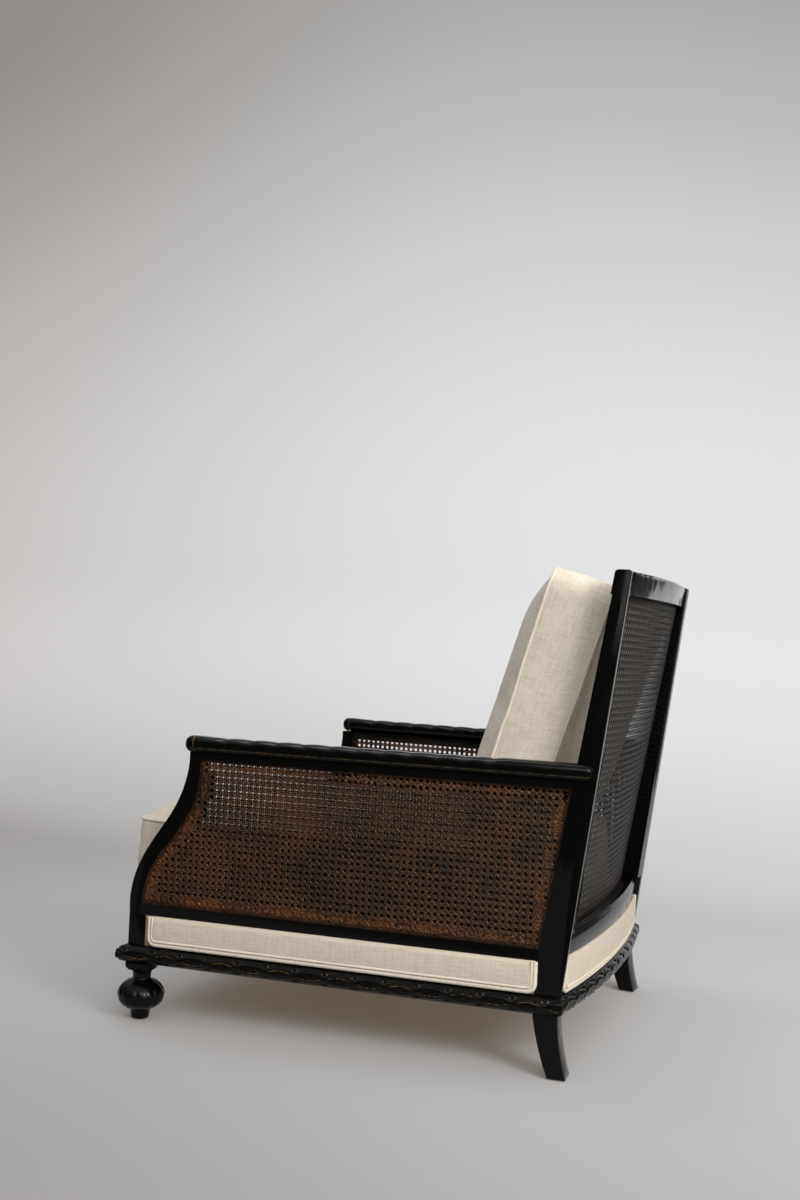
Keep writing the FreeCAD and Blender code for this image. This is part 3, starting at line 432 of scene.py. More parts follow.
def fabric_cord(name, points, radius, sides, closed=False):
    """A round cord of linen along a row of points, such as a welt or a piped seam."""
    bm = bmesh.new()
    layer = bm.loops.layers.uv.new("finish")
    count = len(points)
    rows, lengths, length, normal = [], [], 0.0, None
    for i, p in enumerate(points):
        before = points[i - 1] if closed or i > 0 else p
        after = points[(i + 1) % count] if closed or i < count - 1 else p
        along = (after - before).normalized()
        if normal is None:
            normal = along.orthogonal().normalized()
        normal = (normal - along * normal.dot(along)).normalized()
        other = along.cross(normal)
        rows.append([bm.verts.new(p + radius * (math.cos(a) * normal + math.sin(a) * other))
                     for a in (2 * math.pi * k / sides for k in range(sides))])
        lengths.append(length)
        length += (points[(i + 1) % count] - p).length
    lengths.append(length)
    shift = 0
    if closed:
        # a ring arrives turned: its last row joins the first at the nearest point
        shift = min(range(sides), key=lambda k: (rows[0][k].co - rows[-1][0].co).length)
    around = 2 * math.pi * radius
    for i in range(count if closed else count - 1):
        step = shift if i == count - 1 else 0
        here, there = rows[i], rows[(i + 1) % count]
        for j in range(sides):
            k = (j + 1) % sides
            add_face(bm, (here[j], here[k], there[(k + step) % sides], there[(j + step) % sides]), layer,
                     [(lengths[a], around * b / sides) for a, b in square(i, j)])
    if not closed:
        for row in (rows[0], rows[-1]):
            bm.faces.new(row)
    bmesh.ops.recalc_face_normals(bm, faces=bm.faces)
    return from_bmesh(name, bm, linen_cord)


# Frame of ebonised wood

for _, side in SIDES:
    eased("front_stile_" + side, wood_black, 0.0015)
    eased("rear_post_" + side, wood_polished, 0.0018)
    eased("side_mid_rail_" + side, wood_black, 0.001)
    eased("side_top_rail_" + side, wood_black, 0.001)
eased("lower_back_rail", wood_polished, 0.0014)
eased("crest_rail", wood_polished, 0.0014)

NOSE_RADIUS, NOSE_HUB, NOSE_MIDDLE, MOULDING_LIP = 0.01804, -0.00204, 0.017, 0.026

# The carving on the nose: ribbons, beads in their eyes and leaves beside them
RIBBON_SWING, RIBBON_HALF, RIBBON_OVER, RIBBON_UNDER = 0.0068, 0.0062, 0.0023, 0.0018
BEAD_LONG, BEAD_TALL, BEAD_HIGH = 0.009, 0.0038, 0.0019
LEAF_LONG, LEAF_TALL, LEAF_ASIDE, LEAF_HIGH = 0.010, 0.0042, 0.0135, 0.0020
CARVED_STEP, CARVED_GROUND = 0.0018, 0.0016


def ribbon_relief(along, round_it):
    """Two ribbons that cross every pitch, with a bead in each eye between them."""
    turn = math.pi * along / CARVE_PITCH
    swing = RIBBON_SWING * math.sin(turn)
    lift = 0.0
    for middle, over in ((-swing, math.sin(turn + 0.9) > 0), (swing, math.sin(turn + 0.9) <= 0)):
        away = abs(round_it - middle) / RIBBON_HALF
        if away < 1:
            lift = max(lift, (RIBBON_OVER if over else RIBBON_UNDER) * (1 - away ** 4))
    cell = (along / CARVE_PITCH + 0.5) % 1.0 - 0.5
    eye = math.hypot((abs(cell) - 0.5) * CARVE_PITCH / BEAD_LONG, round_it / BEAD_TALL)
    if eye < 1:
        lift = max(lift, BEAD_HIGH * math.sqrt(1 - eye * eye))
    leaf = math.hypot(cell * CARVE_PITCH / LEAF_LONG, (abs(round_it) - LEAF_ASIDE) / LEAF_TALL)
    if leaf < 1:
        lift = max(lift, LEAF_HIGH * (1 - leaf * leaf) * (0.75 + 0.25 * math.cos(along * 2200)))
    return lift


def cut_away(piece, corner, direction, keep_point):
    """Cut a piece along an upright mitre plane and close the cut."""
    normal = Vector((direction[1], -direction[0], 0)).normalized()
    if (keep_point - corner).dot(normal) > 0:
        normal = -normal
    bm = bmesh.new()
    bm.from_mesh(piece.data)
    bmesh.ops.bisect_plane(bm, geom=bm.verts[:] + bm.edges[:] + bm.faces[:], plane_co=corner,
                           plane_no=normal, clear_outer=True, dist=1e-6)
    rim = [e for e in bm.edges if e.is_boundary]
    bmesh.ops.holes_fill(bm, edges=rim, sides=0)
    bmesh.ops.recalc_face_normals(bm, faces=bm.faces)
    bm.to_mesh(piece.data)
    bm.free()


REAR_RADIUS = REAR_FACE + DRAWING_Y - BOW_AXIS_Y


def rear_place(out, along, height):
    """A point of the bowed rear face, a length along its curve from the middle."""
    angle = along / REAR_RADIUS
    radius = REAR_RADIUS + out
    return Vector((radius * math.sin(angle), BOW_AXIS_Y + radius * math.cos(angle), height))


def rear_corner():
    """Where the splayed side meets the bowed rear face, and which way the mitre runs."""
    x = HALF_FRONT - REAR_FACE * math.sin(SPLAY)
    turn = math.asin(x / REAR_RADIUS)
    corner = Vector((x, BOW_AXIS_Y + REAR_RADIUS * math.cos(turn), 0))
    return corner, (math.cos(SPLAY) + math.sin(turn), math.sin(SPLAY) + math.cos(turn))


def carved_moulding(name, place, start, end, cuts):
    """A half round moulding, carved on its nose and cut to its mitres."""
    reach = math.asin(NOSE_MIDDLE / NOSE_RADIUS)
    steps = 26
    rows, where = [], []
    count = int((end - start) / CARVED_STEP)
    for i in range(count + 1):
        along = start + (end - start) * i / count
        row, marks = [place(0.0, along, BASE_Z)], [-MOULDING_LIP]
        for k in range(steps + 1):
            share = 2 * k / steps - 1
            angle = reach * share
            radius = (NOSE_RADIUS - CARVED_GROUND
                      + ribbon_relief(along, NOSE_RADIUS * angle) * smooth((1 - abs(share)) * 4))
            row.append(place(NOSE_HUB + radius * math.cos(angle), along,
                             BASE_Z + NOSE_MIDDLE + radius * math.sin(angle)))
            marks.append(NOSE_RADIUS * angle)
        row.append(place(0.0, along, BASE_Z + 2 * NOSE_MIDDLE))
        marks.append(MOULDING_LIP)
        rows.append(row)
        where.append(along)
    piece = strip_mesh("carved_moulding_" + name, rows, wood_moulding, close_round=True, close_ends=True,
                       uv=lambda i, j: (where[i], marks[min(j, len(marks) - 1)]))
    for corner, direction in cuts:
        cut_away(piece, corner, direction, rows[len(rows) // 2][0])
    shade_smooth(piece.data)
    ready(piece, "frame", "base_moulding_" + name)


def flipped(corner, direction):
    return Vector((-corner.x, corner.y, corner.z)), (-direction[0], direction[1])


front_mitre = Vector((HALF_FRONT, DRAWING_Y, 0)), (math.cos(SPLAY), math.sin(SPLAY) - 1)
rear_mitre = rear_corner()
for side, name in SIDES:
    cuts = [front_mitre, rear_mitre]
    if side < 0:
        cuts = [flipped(*cut) for cut in cuts]
    carved_moulding(name, lambda o, s, z: side_place(o, s, z, side), -0.02, 0.86, cuts)
carved_moulding("front", front_place, -0.41, 0.41, [front_mitre, flipped(*front_mitre)])
carved_moulding("rear", rear_place, -0.37, 0.37, [rear_mitre, flipped(*rear_mitre)])

# Carved front feet

PEG_TIP, PEG_TOP, PEG_HEIGHT = 0.0165, 0.0185, 0.018
BALL, BALL_Z, NECK, NECK_Z = 0.0425, 0.044, 0.0165, 0.074
COVE, PLINTH_Z, PLINTH_HALF = 0.0235, 0.092, 0.023
FOOT_IN, FOOT_BACK = 0.0225, 0.0195


def foot_profile():
    """Radius and height up the turned foot: peg, ball, neck, bead and cove."""
    points = [(PEG_TIP - 0.0015, 0.002), (PEG_TIP - 0.0004, 0.0026), (PEG_TIP, 0.0042)]
    points += [(PEG_TIP + (PEG_TOP - PEG_TIP) * k / 9, 0.0042 + (PEG_HEIGHT - 0.0042) * k / 9)
               for k in range(1, 9)]
    first, last = -math.acos((PEG_TOP + 0.0035) / BALL), math.acos((NECK + 0.0012) / BALL)
    low = (PEG_HEIGHT + 0.0012 - BALL_Z) / math.sin(first)
    high = (NECK_Z - 0.0004 - BALL_Z) / math.sin(last)
    points += [(PEG_TOP + 0.0006, PEG_HEIGHT), (PEG_TOP + 0.0020, PEG_HEIGHT + 0.0004)]
    for k in range(57):
        turn = first + (last - first) * k / 56
        points.append((BALL * math.cos(turn), BALL_Z + (low if turn < 0 else high) * math.sin(turn)))
    points += [(NECK + 0.0003, NECK_Z + 0.0003), (NECK, NECK_Z + 0.0015), (NECK, NECK_Z + 0.0045)]
    cove = PLINTH_Z - NECK_Z - 0.0045
    points += [(COVE - (COVE - NECK) * math.cos(t), NECK_Z + 0.0045 + cove * math.sin(t))
               for t in (math.pi / 2 * k / 12 for k in range(1, 13))]
    return points


def foot_relief(angle, height):
    """Lapping leaves round the upper half of the ball and short reeds under its middle."""
    lift = 0.0
    if BALL_Z + 0.001 < height < NECK_Z - 0.001:
        share = (height - BALL_Z - 0.001) / (NECK_Z - BALL_Z - 0.002)
        around = (angle / (2 * math.pi) * 8 + 0.5 + 0.10 * math.sin(math.pi * share)) % 1.0 - 0.5
        half = 0.46 * math.sqrt(max(0.0, 1 - share ** 2.2))
        if abs(around) < half:
            vein = abs(around) / max(half, 1e-6)
            lift = 0.0013 * (1 - vein ** 6) - 0.0008 * math.exp(-(around / 0.045) ** 2)
    elif PEG_HEIGHT + 0.004 < height < BALL_Z - 0.002:
        share = (height - PEG_HEIGHT - 0.004) / (BALL_Z - PEG_HEIGHT - 0.006)
        around = (angle / (2 * math.pi) * 16) % 1.0 - 0.5
        lift = 0.0008 * math.cos(math.pi * around) ** 2 * math.sin(math.pi * share)
    return lift


def carved_foot(side, name):
    middle = Vector((side * (HALF_FRONT - FOOT_IN), DRAWING_Y + FOOT_BACK, 0))
    around = 128
    rows = []
    for radius, height in foot_profile():
        row = []
        for k in range(around):
            angle = 2 * math.pi * k / around
            reach = radius + foot_relief(angle, height)
            row.append(middle + Vector((reach * math.cos(angle), reach * math.sin(angle), height)))
        rows.append(row)
    turned = strip_mesh("front_foot_turning", rows, wood_black, close_round=True, close_ends=True)
    bm = bmesh.new()
    bm.from_mesh(turned.data)
    for half, low, high in (
            (PLINTH_HALF - 0.0035, 0.0905, 0.0945), (PLINTH_HALF - 0.0012, 0.0938, 0.0975),
            (PLINTH_HALF, 0.0968, BASE_Z)):
        made = bmesh.ops.create_cube(bm, size=1.0)["verts"]
        for v in made:
            up = low + (v.co.z + 0.5) * (high - low)
            v.co = middle + Vector((v.co.x * 2 * half, v.co.y * 2 * half, up))
        edges = list({e for v in made for e in v.link_edges})
        bmesh.ops.bevel(bm, geom=edges, offset=0.0009, segments=3, affect="EDGES", profile=0.5)
    bpy.data.objects.remove(turned)
    piece = from_bmesh("carved_foot_" + name, bm, wood_black)
    ready(piece, "frame", "front_foot_" + name)


for side, name in SIDES:
    carved_foot(side, name)

# Arms, carved along the top

ARM_START, ARM_END, ARM_ROUND = 0.097, 0.847, 0.013
ARM_IN, ARM_OUT, ARM_FOOT, ARM_TOP = -0.025, 0.011, 0.501, 0.531
ARM_MIDDLE_OUT, ARM_MIDDLE_UP, ARM_HALF_UP = -0.007, 0.516, 0.015
CARVED_FROM, CARVED_TO = 0.13, 0.70


def arm_section(inset):
    """A rounded rectangle as points (out, height), clockwise from the top of the outer corner."""
    out_low, out_high, low, high = ARM_IN + inset, ARM_OUT - inset, ARM_FOOT + inset, ARM_TOP - inset
    corner = max(ARM_ROUND - inset, 0.0015)
    points = []
    for hub_out, hub_up, first in (
            (out_high - corner, high - corner, 90), (out_high - corner, low + corner, 0),
            (out_low + corner, low + corner, -90), (out_low + corner, high - corner, 180)):
        for k in range(10):
            angle = math.radians(first - 10 * k)
            points.append((hub_out + corner * math.cos(angle), hub_up + corner * math.sin(angle)))
    return points


def arm_relief(along, tall):
    """Shallow overlapping leaves in a sunk ground, along the top and its two shoulders."""
    if not CARVED_FROM < along < CARVED_TO or tall < 0.0:
        return 0.0
    fade = smooth((along - CARVED_FROM) / 0.02) * smooth((CARVED_TO - along) / 0.03)
    cell = ((along - CARVED_FROM) / 0.050) % 1.0
    leaf = math.sin(math.pi * min(cell / 0.86, 1.0)) ** 0.6 * (1 - 0.45 * cell)
    ribs = 0.82 + 0.18 * math.cos(tall * 9.0 + cell * 2.4)
    ground = 0.0022 * fade * smooth((tall - 0.2) * 1.6)
    return 0.0024 * leaf * ribs * fade * smooth(tall * 1.6) - ground


def carved_arm(side, name):
    tip = [ARM_ROUND * (1 - math.cos(math.pi / 2 * k / 9)) for k in range(1, 9)]
    straight = ARM_END - ARM_START - 2 * ARM_ROUND
    count = int(straight / 0.0024)
    stations = [ARM_START + t for t in tip]
    stations += [ARM_START + ARM_ROUND + straight * k / count for k in range(count + 1)]
    stations += [ARM_END - t for t in reversed(tip)]
    rows = []
    for along in stations:
        short = max(ARM_ROUND - min(along - ARM_START, ARM_END - along), 0)
        inset = ARM_ROUND - math.sqrt(max(ARM_ROUND ** 2 - short ** 2, 0)) if short else 0.0
        row = []
        for out, up in arm_section(inset):
            lift = arm_relief(along, (up - ARM_MIDDLE_UP) / ARM_HALF_UP)
            aside = 0.3 * lift * math.copysign(1, out - ARM_MIDDLE_OUT)
            row.append(side_place(out + aside, along, up + lift, side))
        rows.append(row)
    low_line = [up - ARM_FOOT if out > 0 else 1.0 for out, up in arm_section(0)]
    piece = strip_mesh("carved_arm_" + name, rows, wood_arm, close_round=True, close_ends=True,
                       uv=lambda i, j: (stations[i], low_line[j % len(low_line)]))
    ready(piece, "frame", "arm_" + name)


for side, name in SIDES:
    carved_arm(side, name)

# Woven cane


def crossing_mesh(closed):
    """One repeat of six way cane: two pairs of strands and the slanting ones between them.

    The attribute "slant" marks the slanting strands. A closed cell has a bed of fibre behind it.
    """
    bm = bmesh.new()
    half, pair = CANE_PITCH / 2, 0.00155
    straight, slanting, thick = 0.0026, 0.0021, 0.0006
    slant = bm.faces.layers.float.new("slant")

    def strand(points, width, thickness, mark):
        along = (Vector(points[1]) - Vector(points[0])).normalized()
        flat = Vector((-along.y, along.x, 0)).normalized() * width / 2
        rows = [[bm.verts.new(Vector(p) + offset) for offset in
                 (flat, Vector((0, 0, thickness)), -flat)] for p in points]
        for a, b in zip(rows, rows[1:]):
            for k in range(3):
                bm.faces.new((a[k], a[(k + 1) % 3], b[(k + 1) % 3], b[k]))[slant] = mark

    for k in (-1, 1):
        strand([(k * pair, -half, 0), (k * pair, 0, -0.00035), (k * pair, half, 0)], straight, thick, 0.0)
        strand([(-half, k * pair, 0), (0, k * pair, 0.00035), (half, k * pair, 0)], straight, thick, 0.0)
    low, high = -0.0008, 0.0007
    for ends in (((-half, 0, low), (0, half, high)), ((0, -half, high), (half, 0, low)),
                 ((half, 0, high), (0, half, low)), ((0, -half, low), (-half, 0, high))):
        strand(ends, slanting, thick, 1.0)
    bmesh.ops.recalc_face_normals(bm, faces=bm.faces)
    if closed:
        reach = 0.0046
        for middle in (-half, half):
            for turn in (-1, 1):
                strand([(middle - reach, middle - turn * reach, -0.0012),
                        (middle + reach, middle + turn * reach, -0.0010)], 0.0068, 0.0005, 0.5)
    mesh = bpy.data.meshes.new("cane crossing")
    bm.to_mesh(mesh)
    bm.free()
    return mesh


RIM_NEAR, RAIL_SHADE_Z, SHEET_NEAR = 0.0125, 0.462, 0.0058


def cane_tree():
    """Cells of cane on a bowed grid of points, kept where a CAD sheet lies.

    Cells by the splines are closed ones low down and behind "Bedded from". The attribute "rim"
    grows towards the splines, and a face attribute marks faces that look towards "Gap side"; the finish
    darkens them as painted shade between the two sheets.
    """
    tree = bpy.data.node_groups.new("woven cane", "GeometryNodeTree")
    g = Graph(tree)
    sockets = {}
    for kind, labels in (("Geometry", ("Geometry",)), ("Int", ("Columns", "Rows")),
                         ("Object", ("Sheet", "Spline", "Crossing", "Closed crossing")),
                         ("Vector", ("Middle", "Turn", "Gap side")), ("Material", ("Finish",)),
                         ("Float", ("Pitch", "Bow", "Reach", "Bedded from"))):
        for label in labels:
            made = tree.interface.new_socket(label, in_out="INPUT", socket_type="NodeSocket" + kind)
            sockets[label] = made.identifier
    tree.interface.new_socket("Geometry", in_out="OUTPUT", socket_type="NodeSocketGeometry")
    given = g.node("NodeGroupInput").outputs
    normal = g.node("GeometryNodeInputNormal").outputs[0]
    place = g.split(g.node("GeometryNodeInputPosition").outputs[0])

    def span(count):
        return g.times(g.minus(given[count], 1.0), given["Pitch"])

    def shape(label):
        return g.node("GeometryNodeObjectInfo", {0: given[label]}).outputs["Geometry"]

    def distance(label):
        return g.node("GeometryNodeProximity", {0: shape(label)}, target_element="FACES").outputs["Distance"]

    def compare(operation, first, second):
        return g.node("FunctionNodeCompare", {0: first, 1: second}, data_type="FLOAT",
                      operation=operation).outputs[0]

    def logic(operation, *values):
        return g.node("FunctionNodeBooleanMath", dict(enumerate(values)), operation=operation).outputs[0]

    def changed(kind, geometry, inputs, **settings):
        return g.node("GeometryNode" + kind, {"Geometry": geometry, **inputs}, **settings).outputs[0]

    grid = g.node("GeometryNodeMeshGrid", {
        "Size X": span("Columns"), "Size Y": span("Rows"),
        "Vertices X": given["Columns"], "Vertices Y": given["Rows"]}).outputs["Mesh"]
    sag = g.times(g.times(place[0], place[0]), g.times(given["Bow"], -0.5))
    bent = changed("SetPosition", grid, {"Offset": g.node("ShaderNodeCombineXYZ", {2: sag}).outputs[0]})
    turn = g.node("FunctionNodeEulerToRotation", {0: given["Turn"]}).outputs[0]
    moved = changed("Transform", bent, {"Translation": given["Middle"], "Rotation": turn})
    outside = compare("GREATER_THAN", distance("Sheet"), given["Reach"])
    kept = changed("DeleteGeometry", moved, {"Selection": outside}, domain="POINT")
    inward = distance("Spline")
    rim = changed("StoreNamedAttribute", kept,
                  {"Name": "rim", "Value": g.ramp(inward, 0.006, 0.026, 1.0, 0.0)},
                  data_type="FLOAT", domain="POINT")
    facing = g.node("FunctionNodeAlignRotationToVector", {"Rotation": turn, "Vector": normal},
                    axis="Z").outputs[0]
    bedded = logic("OR", compare("LESS_THAN", place[2], RAIL_SHADE_Z),
                   compare("GREATER_THAN", place[1], given["Bedded from"]))
    edge = logic("AND", compare("LESS_THAN", inward, RIM_NEAR), bedded)
    joined = g.node("GeometryNodeJoinGeometry")
    for source, chosen in (("Crossing", logic("NOT", edge)), ("Closed crossing", edge)):
        cells = g.node("GeometryNodeInstanceOnPoints", {
            "Points": rim, "Selection": chosen, "Instance": shape(source), "Rotation": facing})
        g.set(joined.inputs[0], cells.outputs[0])
    real = changed("RealizeInstances", joined.outputs[0], {})
    # Painted shade: marks the faces that look towards the gap between the sheets, for the finish to darken.
    shaded = changed("StoreNamedAttribute", real,
                     {"Name": "gap", "Value": g.ramp(g.dot(normal, given["Gap side"]), 0.0, 0.4)},
                     data_type="FLOAT", domain="FACE")
    finished = changed("SetMaterial", shaded, {"Material": given["Finish"]})
    g.node("NodeGroupOutput", {0: finished})
    return tree, sockets


WOVEN, WOVEN_SOCKETS = cane_tree()
crossings = [placed("cane_crossing", crossing_mesh(closed)) for closed in (False, True)]


def woven_cane(name, node, splines, finish, middle, turn, columns, rows, bow=0.0, rim_cell=1,
               gap_side=(0, 0, 0), bedded_from=1.0):
    """A sheet of cane cells in place of the CAD sheet called node."""
    piece = placed(name, bpy.data.meshes.new(name))
    weave = piece.modifiers.new("weave", "NODES")
    weave.node_group = WOVEN
    values = {"Sheet": nodes[node], "Spline": nodes[splines], "Crossing": crossings[0],
              "Closed crossing": crossings[rim_cell], "Middle": middle, "Turn": turn, "Columns": columns,
              "Rows": rows, "Pitch": CANE_PITCH, "Bow": bow, "Reach": SHEET_NEAR, "Finish": finish,
              "Gap side": gap_side, "Bedded from": bedded_from}
    for label, value in values.items():
        weave[WOVEN_SOCKETS[label]] = value
    settle(piece)
    ready(piece, "frame", node)


def grid_turn(along, up):
    """How the flat grid turns when its X runs along, its Y up and its Z out of the sheet."""
    return Matrix((along, up, along.cross(up))).transposed().to_euler()


PANEL_ALONG, PANEL_UP, OUTER_IN, INNER_IN = 0.414, 0.361, -0.0068, -0.0232
INNER_SHIFT = {1: (0.0012, 0.001), -1: (0.0069, 0.0015)}
for side, name in SIDES:
    shift, lift = INNER_SHIFT[side]
    outwards = side_place(1, 0, 0, side) - side_place(0, 0, 0, side)
    back_along = (side_place(0, 1, 0, side) - side_place(0, 0, 0, side)).normalized()
    # gap_side points into the gap between the sheets; the cane finish paints shade on the faces that look
    # there.
    for layer, middle, gap_side, bedded_from in (
            ("outer", side_place(OUTER_IN, PANEL_ALONG, PANEL_UP, side), -outwards, 1.0),
            ("inner", side_place(INNER_IN, PANEL_ALONG + shift, PANEL_UP + lift, side), outwards, 0.05)):
        woven_cane("woven_cane_%s_%s" % (layer, name), "side_cane_%s_%s" % (layer, name),
                   "side_cane_splines_" + name, cane_side, middle,
                   grid_turn(back_along, Vector((0, 0, 1))), 64, 26, gap_side=gap_side,
                   bedded_from=bedded_from)

# The back leans 0.104 m in a rise of 0.645 m; its cane lies in a groove of the 38 mm rails
lean = math.atan(0.104 / 0.645)
BACK_PLANE_Z = 0.215
back_low, back_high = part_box("back_cane")
middle_z = (back_low.z + back_high.z) / 2
cane_front_y = BACK_PLANE - 0.038 + 0.003 + 0.0008 + DRAWING_Y
back_middle = Vector((0, cane_front_y + math.tan(lean) * (middle_z - BACK_PLANE_Z), middle_z))
woven_cane("woven_cane_back", "back_cane", "back_cane_splines", cane_back, back_middle,
           grid_turn(-Vector((1, 0, 0)), Vector((0, math.sin(lean), math.cos(lean)))), 54, 50,
           bow=math.cos(lean) / BOW_RADIUS, rim_cell=0)
for crossing in crossings:
    bpy.data.objects.remove(crossing)
for name, finish in (("side_cane_splines_left", cane_side), ("side_cane_splines_right", cane_side),
                     ("back_cane_splines", cane_back)):
    coat(nodes[name], finish)

# Linen panels and welts


WELT_RADIUS, FOLD_RADIUS = 0.0041, 0.0024
PANEL_DEPTH, PANEL_EDGE, PANEL_CORNER, PANEL_BACK = 0.009, 0.005, 0.012, 0.0005
PANEL_LOW, SIDE_PANEL_TOP, FRONT_PANEL_TOP, REAR_PANEL_TOP = 0.1455, 0.195, 0.238, 0.203
STILE_FOOT, POST_FRONT, POST_INSIDE = 0.034, 0.768, 0.0634


def panel_sheet(name, place, start, end, top):
    """A stretched linen panel over thin padding, its edges rolled over."""
    across, upright = int((end - start) / 0.006), 14
    skin, roll_depth, swell, waver = 0.0006, PANEL_DEPTH - 0.0022, 0.0016, 0.0012
    low, corner, seed = PANEL_LOW, PANEL_CORNER, PANEL_DEPTH * 100 + start
    bm = bmesh.new()
    layer = bm.loops.layers.uv.new("finish")
    made, marks = [], []
    for i in range(across + 1):
        column, flat = [], []
        s = start + (end - start) * i / across
        near_end = min(s - start, end - s)
        lift = 0.0
        if near_end < corner:
            lift = corner - math.sqrt(max(corner ** 2 - (corner - near_end) ** 2, 0))
        for j in range(upright + 1):
            lifted = lift * (1 - j / upright) ** 3
            z = low + (top - low) * (j / upright) + lifted
            rise = min(near_end, z - low - lifted, top - z)
            roll = 1.0 if rise >= PANEL_EDGE else math.sqrt(max(1 - (1 - rise / PANEL_EDGE) ** 2, 0))
            puff = waver * noise.noise(Vector((s * 9, z * 14, seed)))
            pillow = swell * math.sin(math.pi * min(max((z - low) / (top - low), 0), 1))
            out = skin + roll_depth * roll + (pillow + puff) * roll
            column.append(bm.verts.new(place(out, s, z)))
            flat.append((s, z))
        made.append(column)
        marks.append(flat)
    for i in range(across):
        for j in range(upright):
            corners = ((i, j), (i + 1, j), (i + 1, j + 1), (i, j + 1))
            add_face(bm, [made[a][b] for a, b in corners], layer, [marks[a][b] for a, b in corners])
    ring = [(i, 0) for i in range(across)] + [(across, j) for j in range(upright)]
    ring += [(across - i, upright) for i in range(across)] + [(0, upright - j) for j in range(upright)]
    inwards = (place(-1.0, 0, 0) - place(0, 0, 0)) * PANEL_BACK
    rim = [(made[a][b], bm.verts.new(made[a][b].co + inwards), marks[a][b]) for a, b in ring]
    for (front, back, mark), (next_front, next_back, next_mark) in zip(rim, rim[1:] + rim[:1]):
        add_face(bm, (front, back, next_back, next_front), layer, (mark, mark, next_mark, next_mark))
    bm.faces.new([back for _, back, _ in rim])
    bmesh.ops.recalc_face_normals(bm, faces=bm.faces)
    piece = from_bmesh(name, bm, linen_panel)
    return piece


def welt_path(place, start, end, low, top, turn, lift):
    """Down one end of a panel, round a corner, along the bottom and up the other end."""

    def run(a, b, count):
        return [(a[0] + (b[0] - a[0]) * k / count, a[1] + (b[1] - a[1]) * k / count) for k in range(count)]

    quarter = [math.pi / 2 * k / 8 for k in range(8)]
    points = run((start, top), (start, low + turn), 8)
    points += [(start + turn - turn * math.cos(t), low + turn - turn * math.sin(t)) for t in quarter]
    points += run((start + turn, low), (end - turn, low), max(2, int((end - start) / 0.012)))
    points += [(end - turn + turn * math.sin(t), low + turn - turn * math.cos(t)) for t in quarter]
    points += run((end, low + turn), (end, top), 8) + [(end, top)]
    return [place(lift + 0.0002 * noise.noise(Vector((s * 40, z * 40, lift * 1000))), s, z)
            for s, z in points]


def upholstered(name, place, start, end, top, node):
    """A border panel with the welt round it and the fold of linen inside the welt."""
    low, corner = PANEL_LOW, PANEL_CORNER
    ready(panel_sheet("linen_" + name, place, start, end, top), "frame", node % "panel")
    path = welt_path(place, start - 0.0012, end + 0.0006, low - 0.0014, top - 0.001, corner + 0.001,
                     WELT_RADIUS)
    ready(fabric_cord("welt_" + name, path, WELT_RADIUS, 14), "frame", node % "panel_welt")
    path = welt_path(place, start + 0.0052, end - 0.0052, low + 0.0050, top - 0.001, corner - 0.0045,
                     0.0072)
    ready(fabric_cord("welt_fold_" + name, path, FOLD_RADIUS, 10), "frame", node % "panel_welt")


for side, name in SIDES:
    upholstered("side_" + name, lambda o, s, z, k=side: side_place(o, s, z, k), STILE_FOOT + 0.012,
                POST_FRONT - 0.005, SIDE_PANEL_TOP, "side_%s_" + name)
front_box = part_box("front_panel")
upholstered("front", front_place, front_box[0].x, front_box[1].x, FRONT_PANEL_TOP, "front_%s")
rear_half = HALF_FRONT - POST_INSIDE - 0.005
rear_span = REAR_RADIUS * math.asin(rear_half / REAR_RADIUS)
upholstered("rear", rear_place, -rear_span, rear_span, REAR_PANEL_TOP, "rear_%s")

# Loose cushions


def cushion_plan(front_half, rear_half, low, high, corner, draw):
    """Edge k of a cushion's plan at share t of its way, from the middle of a corner to the next."""
    hubs = [Vector((-front_half + corner, low + corner)), Vector((front_half - corner, low + corner)),
            Vector((rear_half - corner, high - corner)), Vector((-rear_half + corner, high - corner))]
    eighth = math.pi / 4
    arc = eighth * corner

    def edge(k, t):
        a, b = hubs[k], hubs[(k + 1) % 4]
        run = b - a
        along = run.normalized()
        outward = Vector((run.y, -run.x)).normalized()
        at = t * (run.length + 2 * arc)
        if at < arc:
            angle = eighth * (1 - at / arc)
            return a + corner * (math.cos(angle) * outward - math.sin(angle) * along)
        if at > arc + run.length:
            angle = eighth * (at - arc - run.length) / arc
            return b + corner * (math.cos(angle) * outward + math.sin(angle) * along)
        share = (at - arc) / run.length
        pull = draw * run.length / 2 * (4 * share * (1 - share))
        return a + run * share + outward * (corner - pull)

    return edge


def rise(distance, reach, power=2.6):
    return 1 - (1 - min(distance / reach, 1.0)) ** power


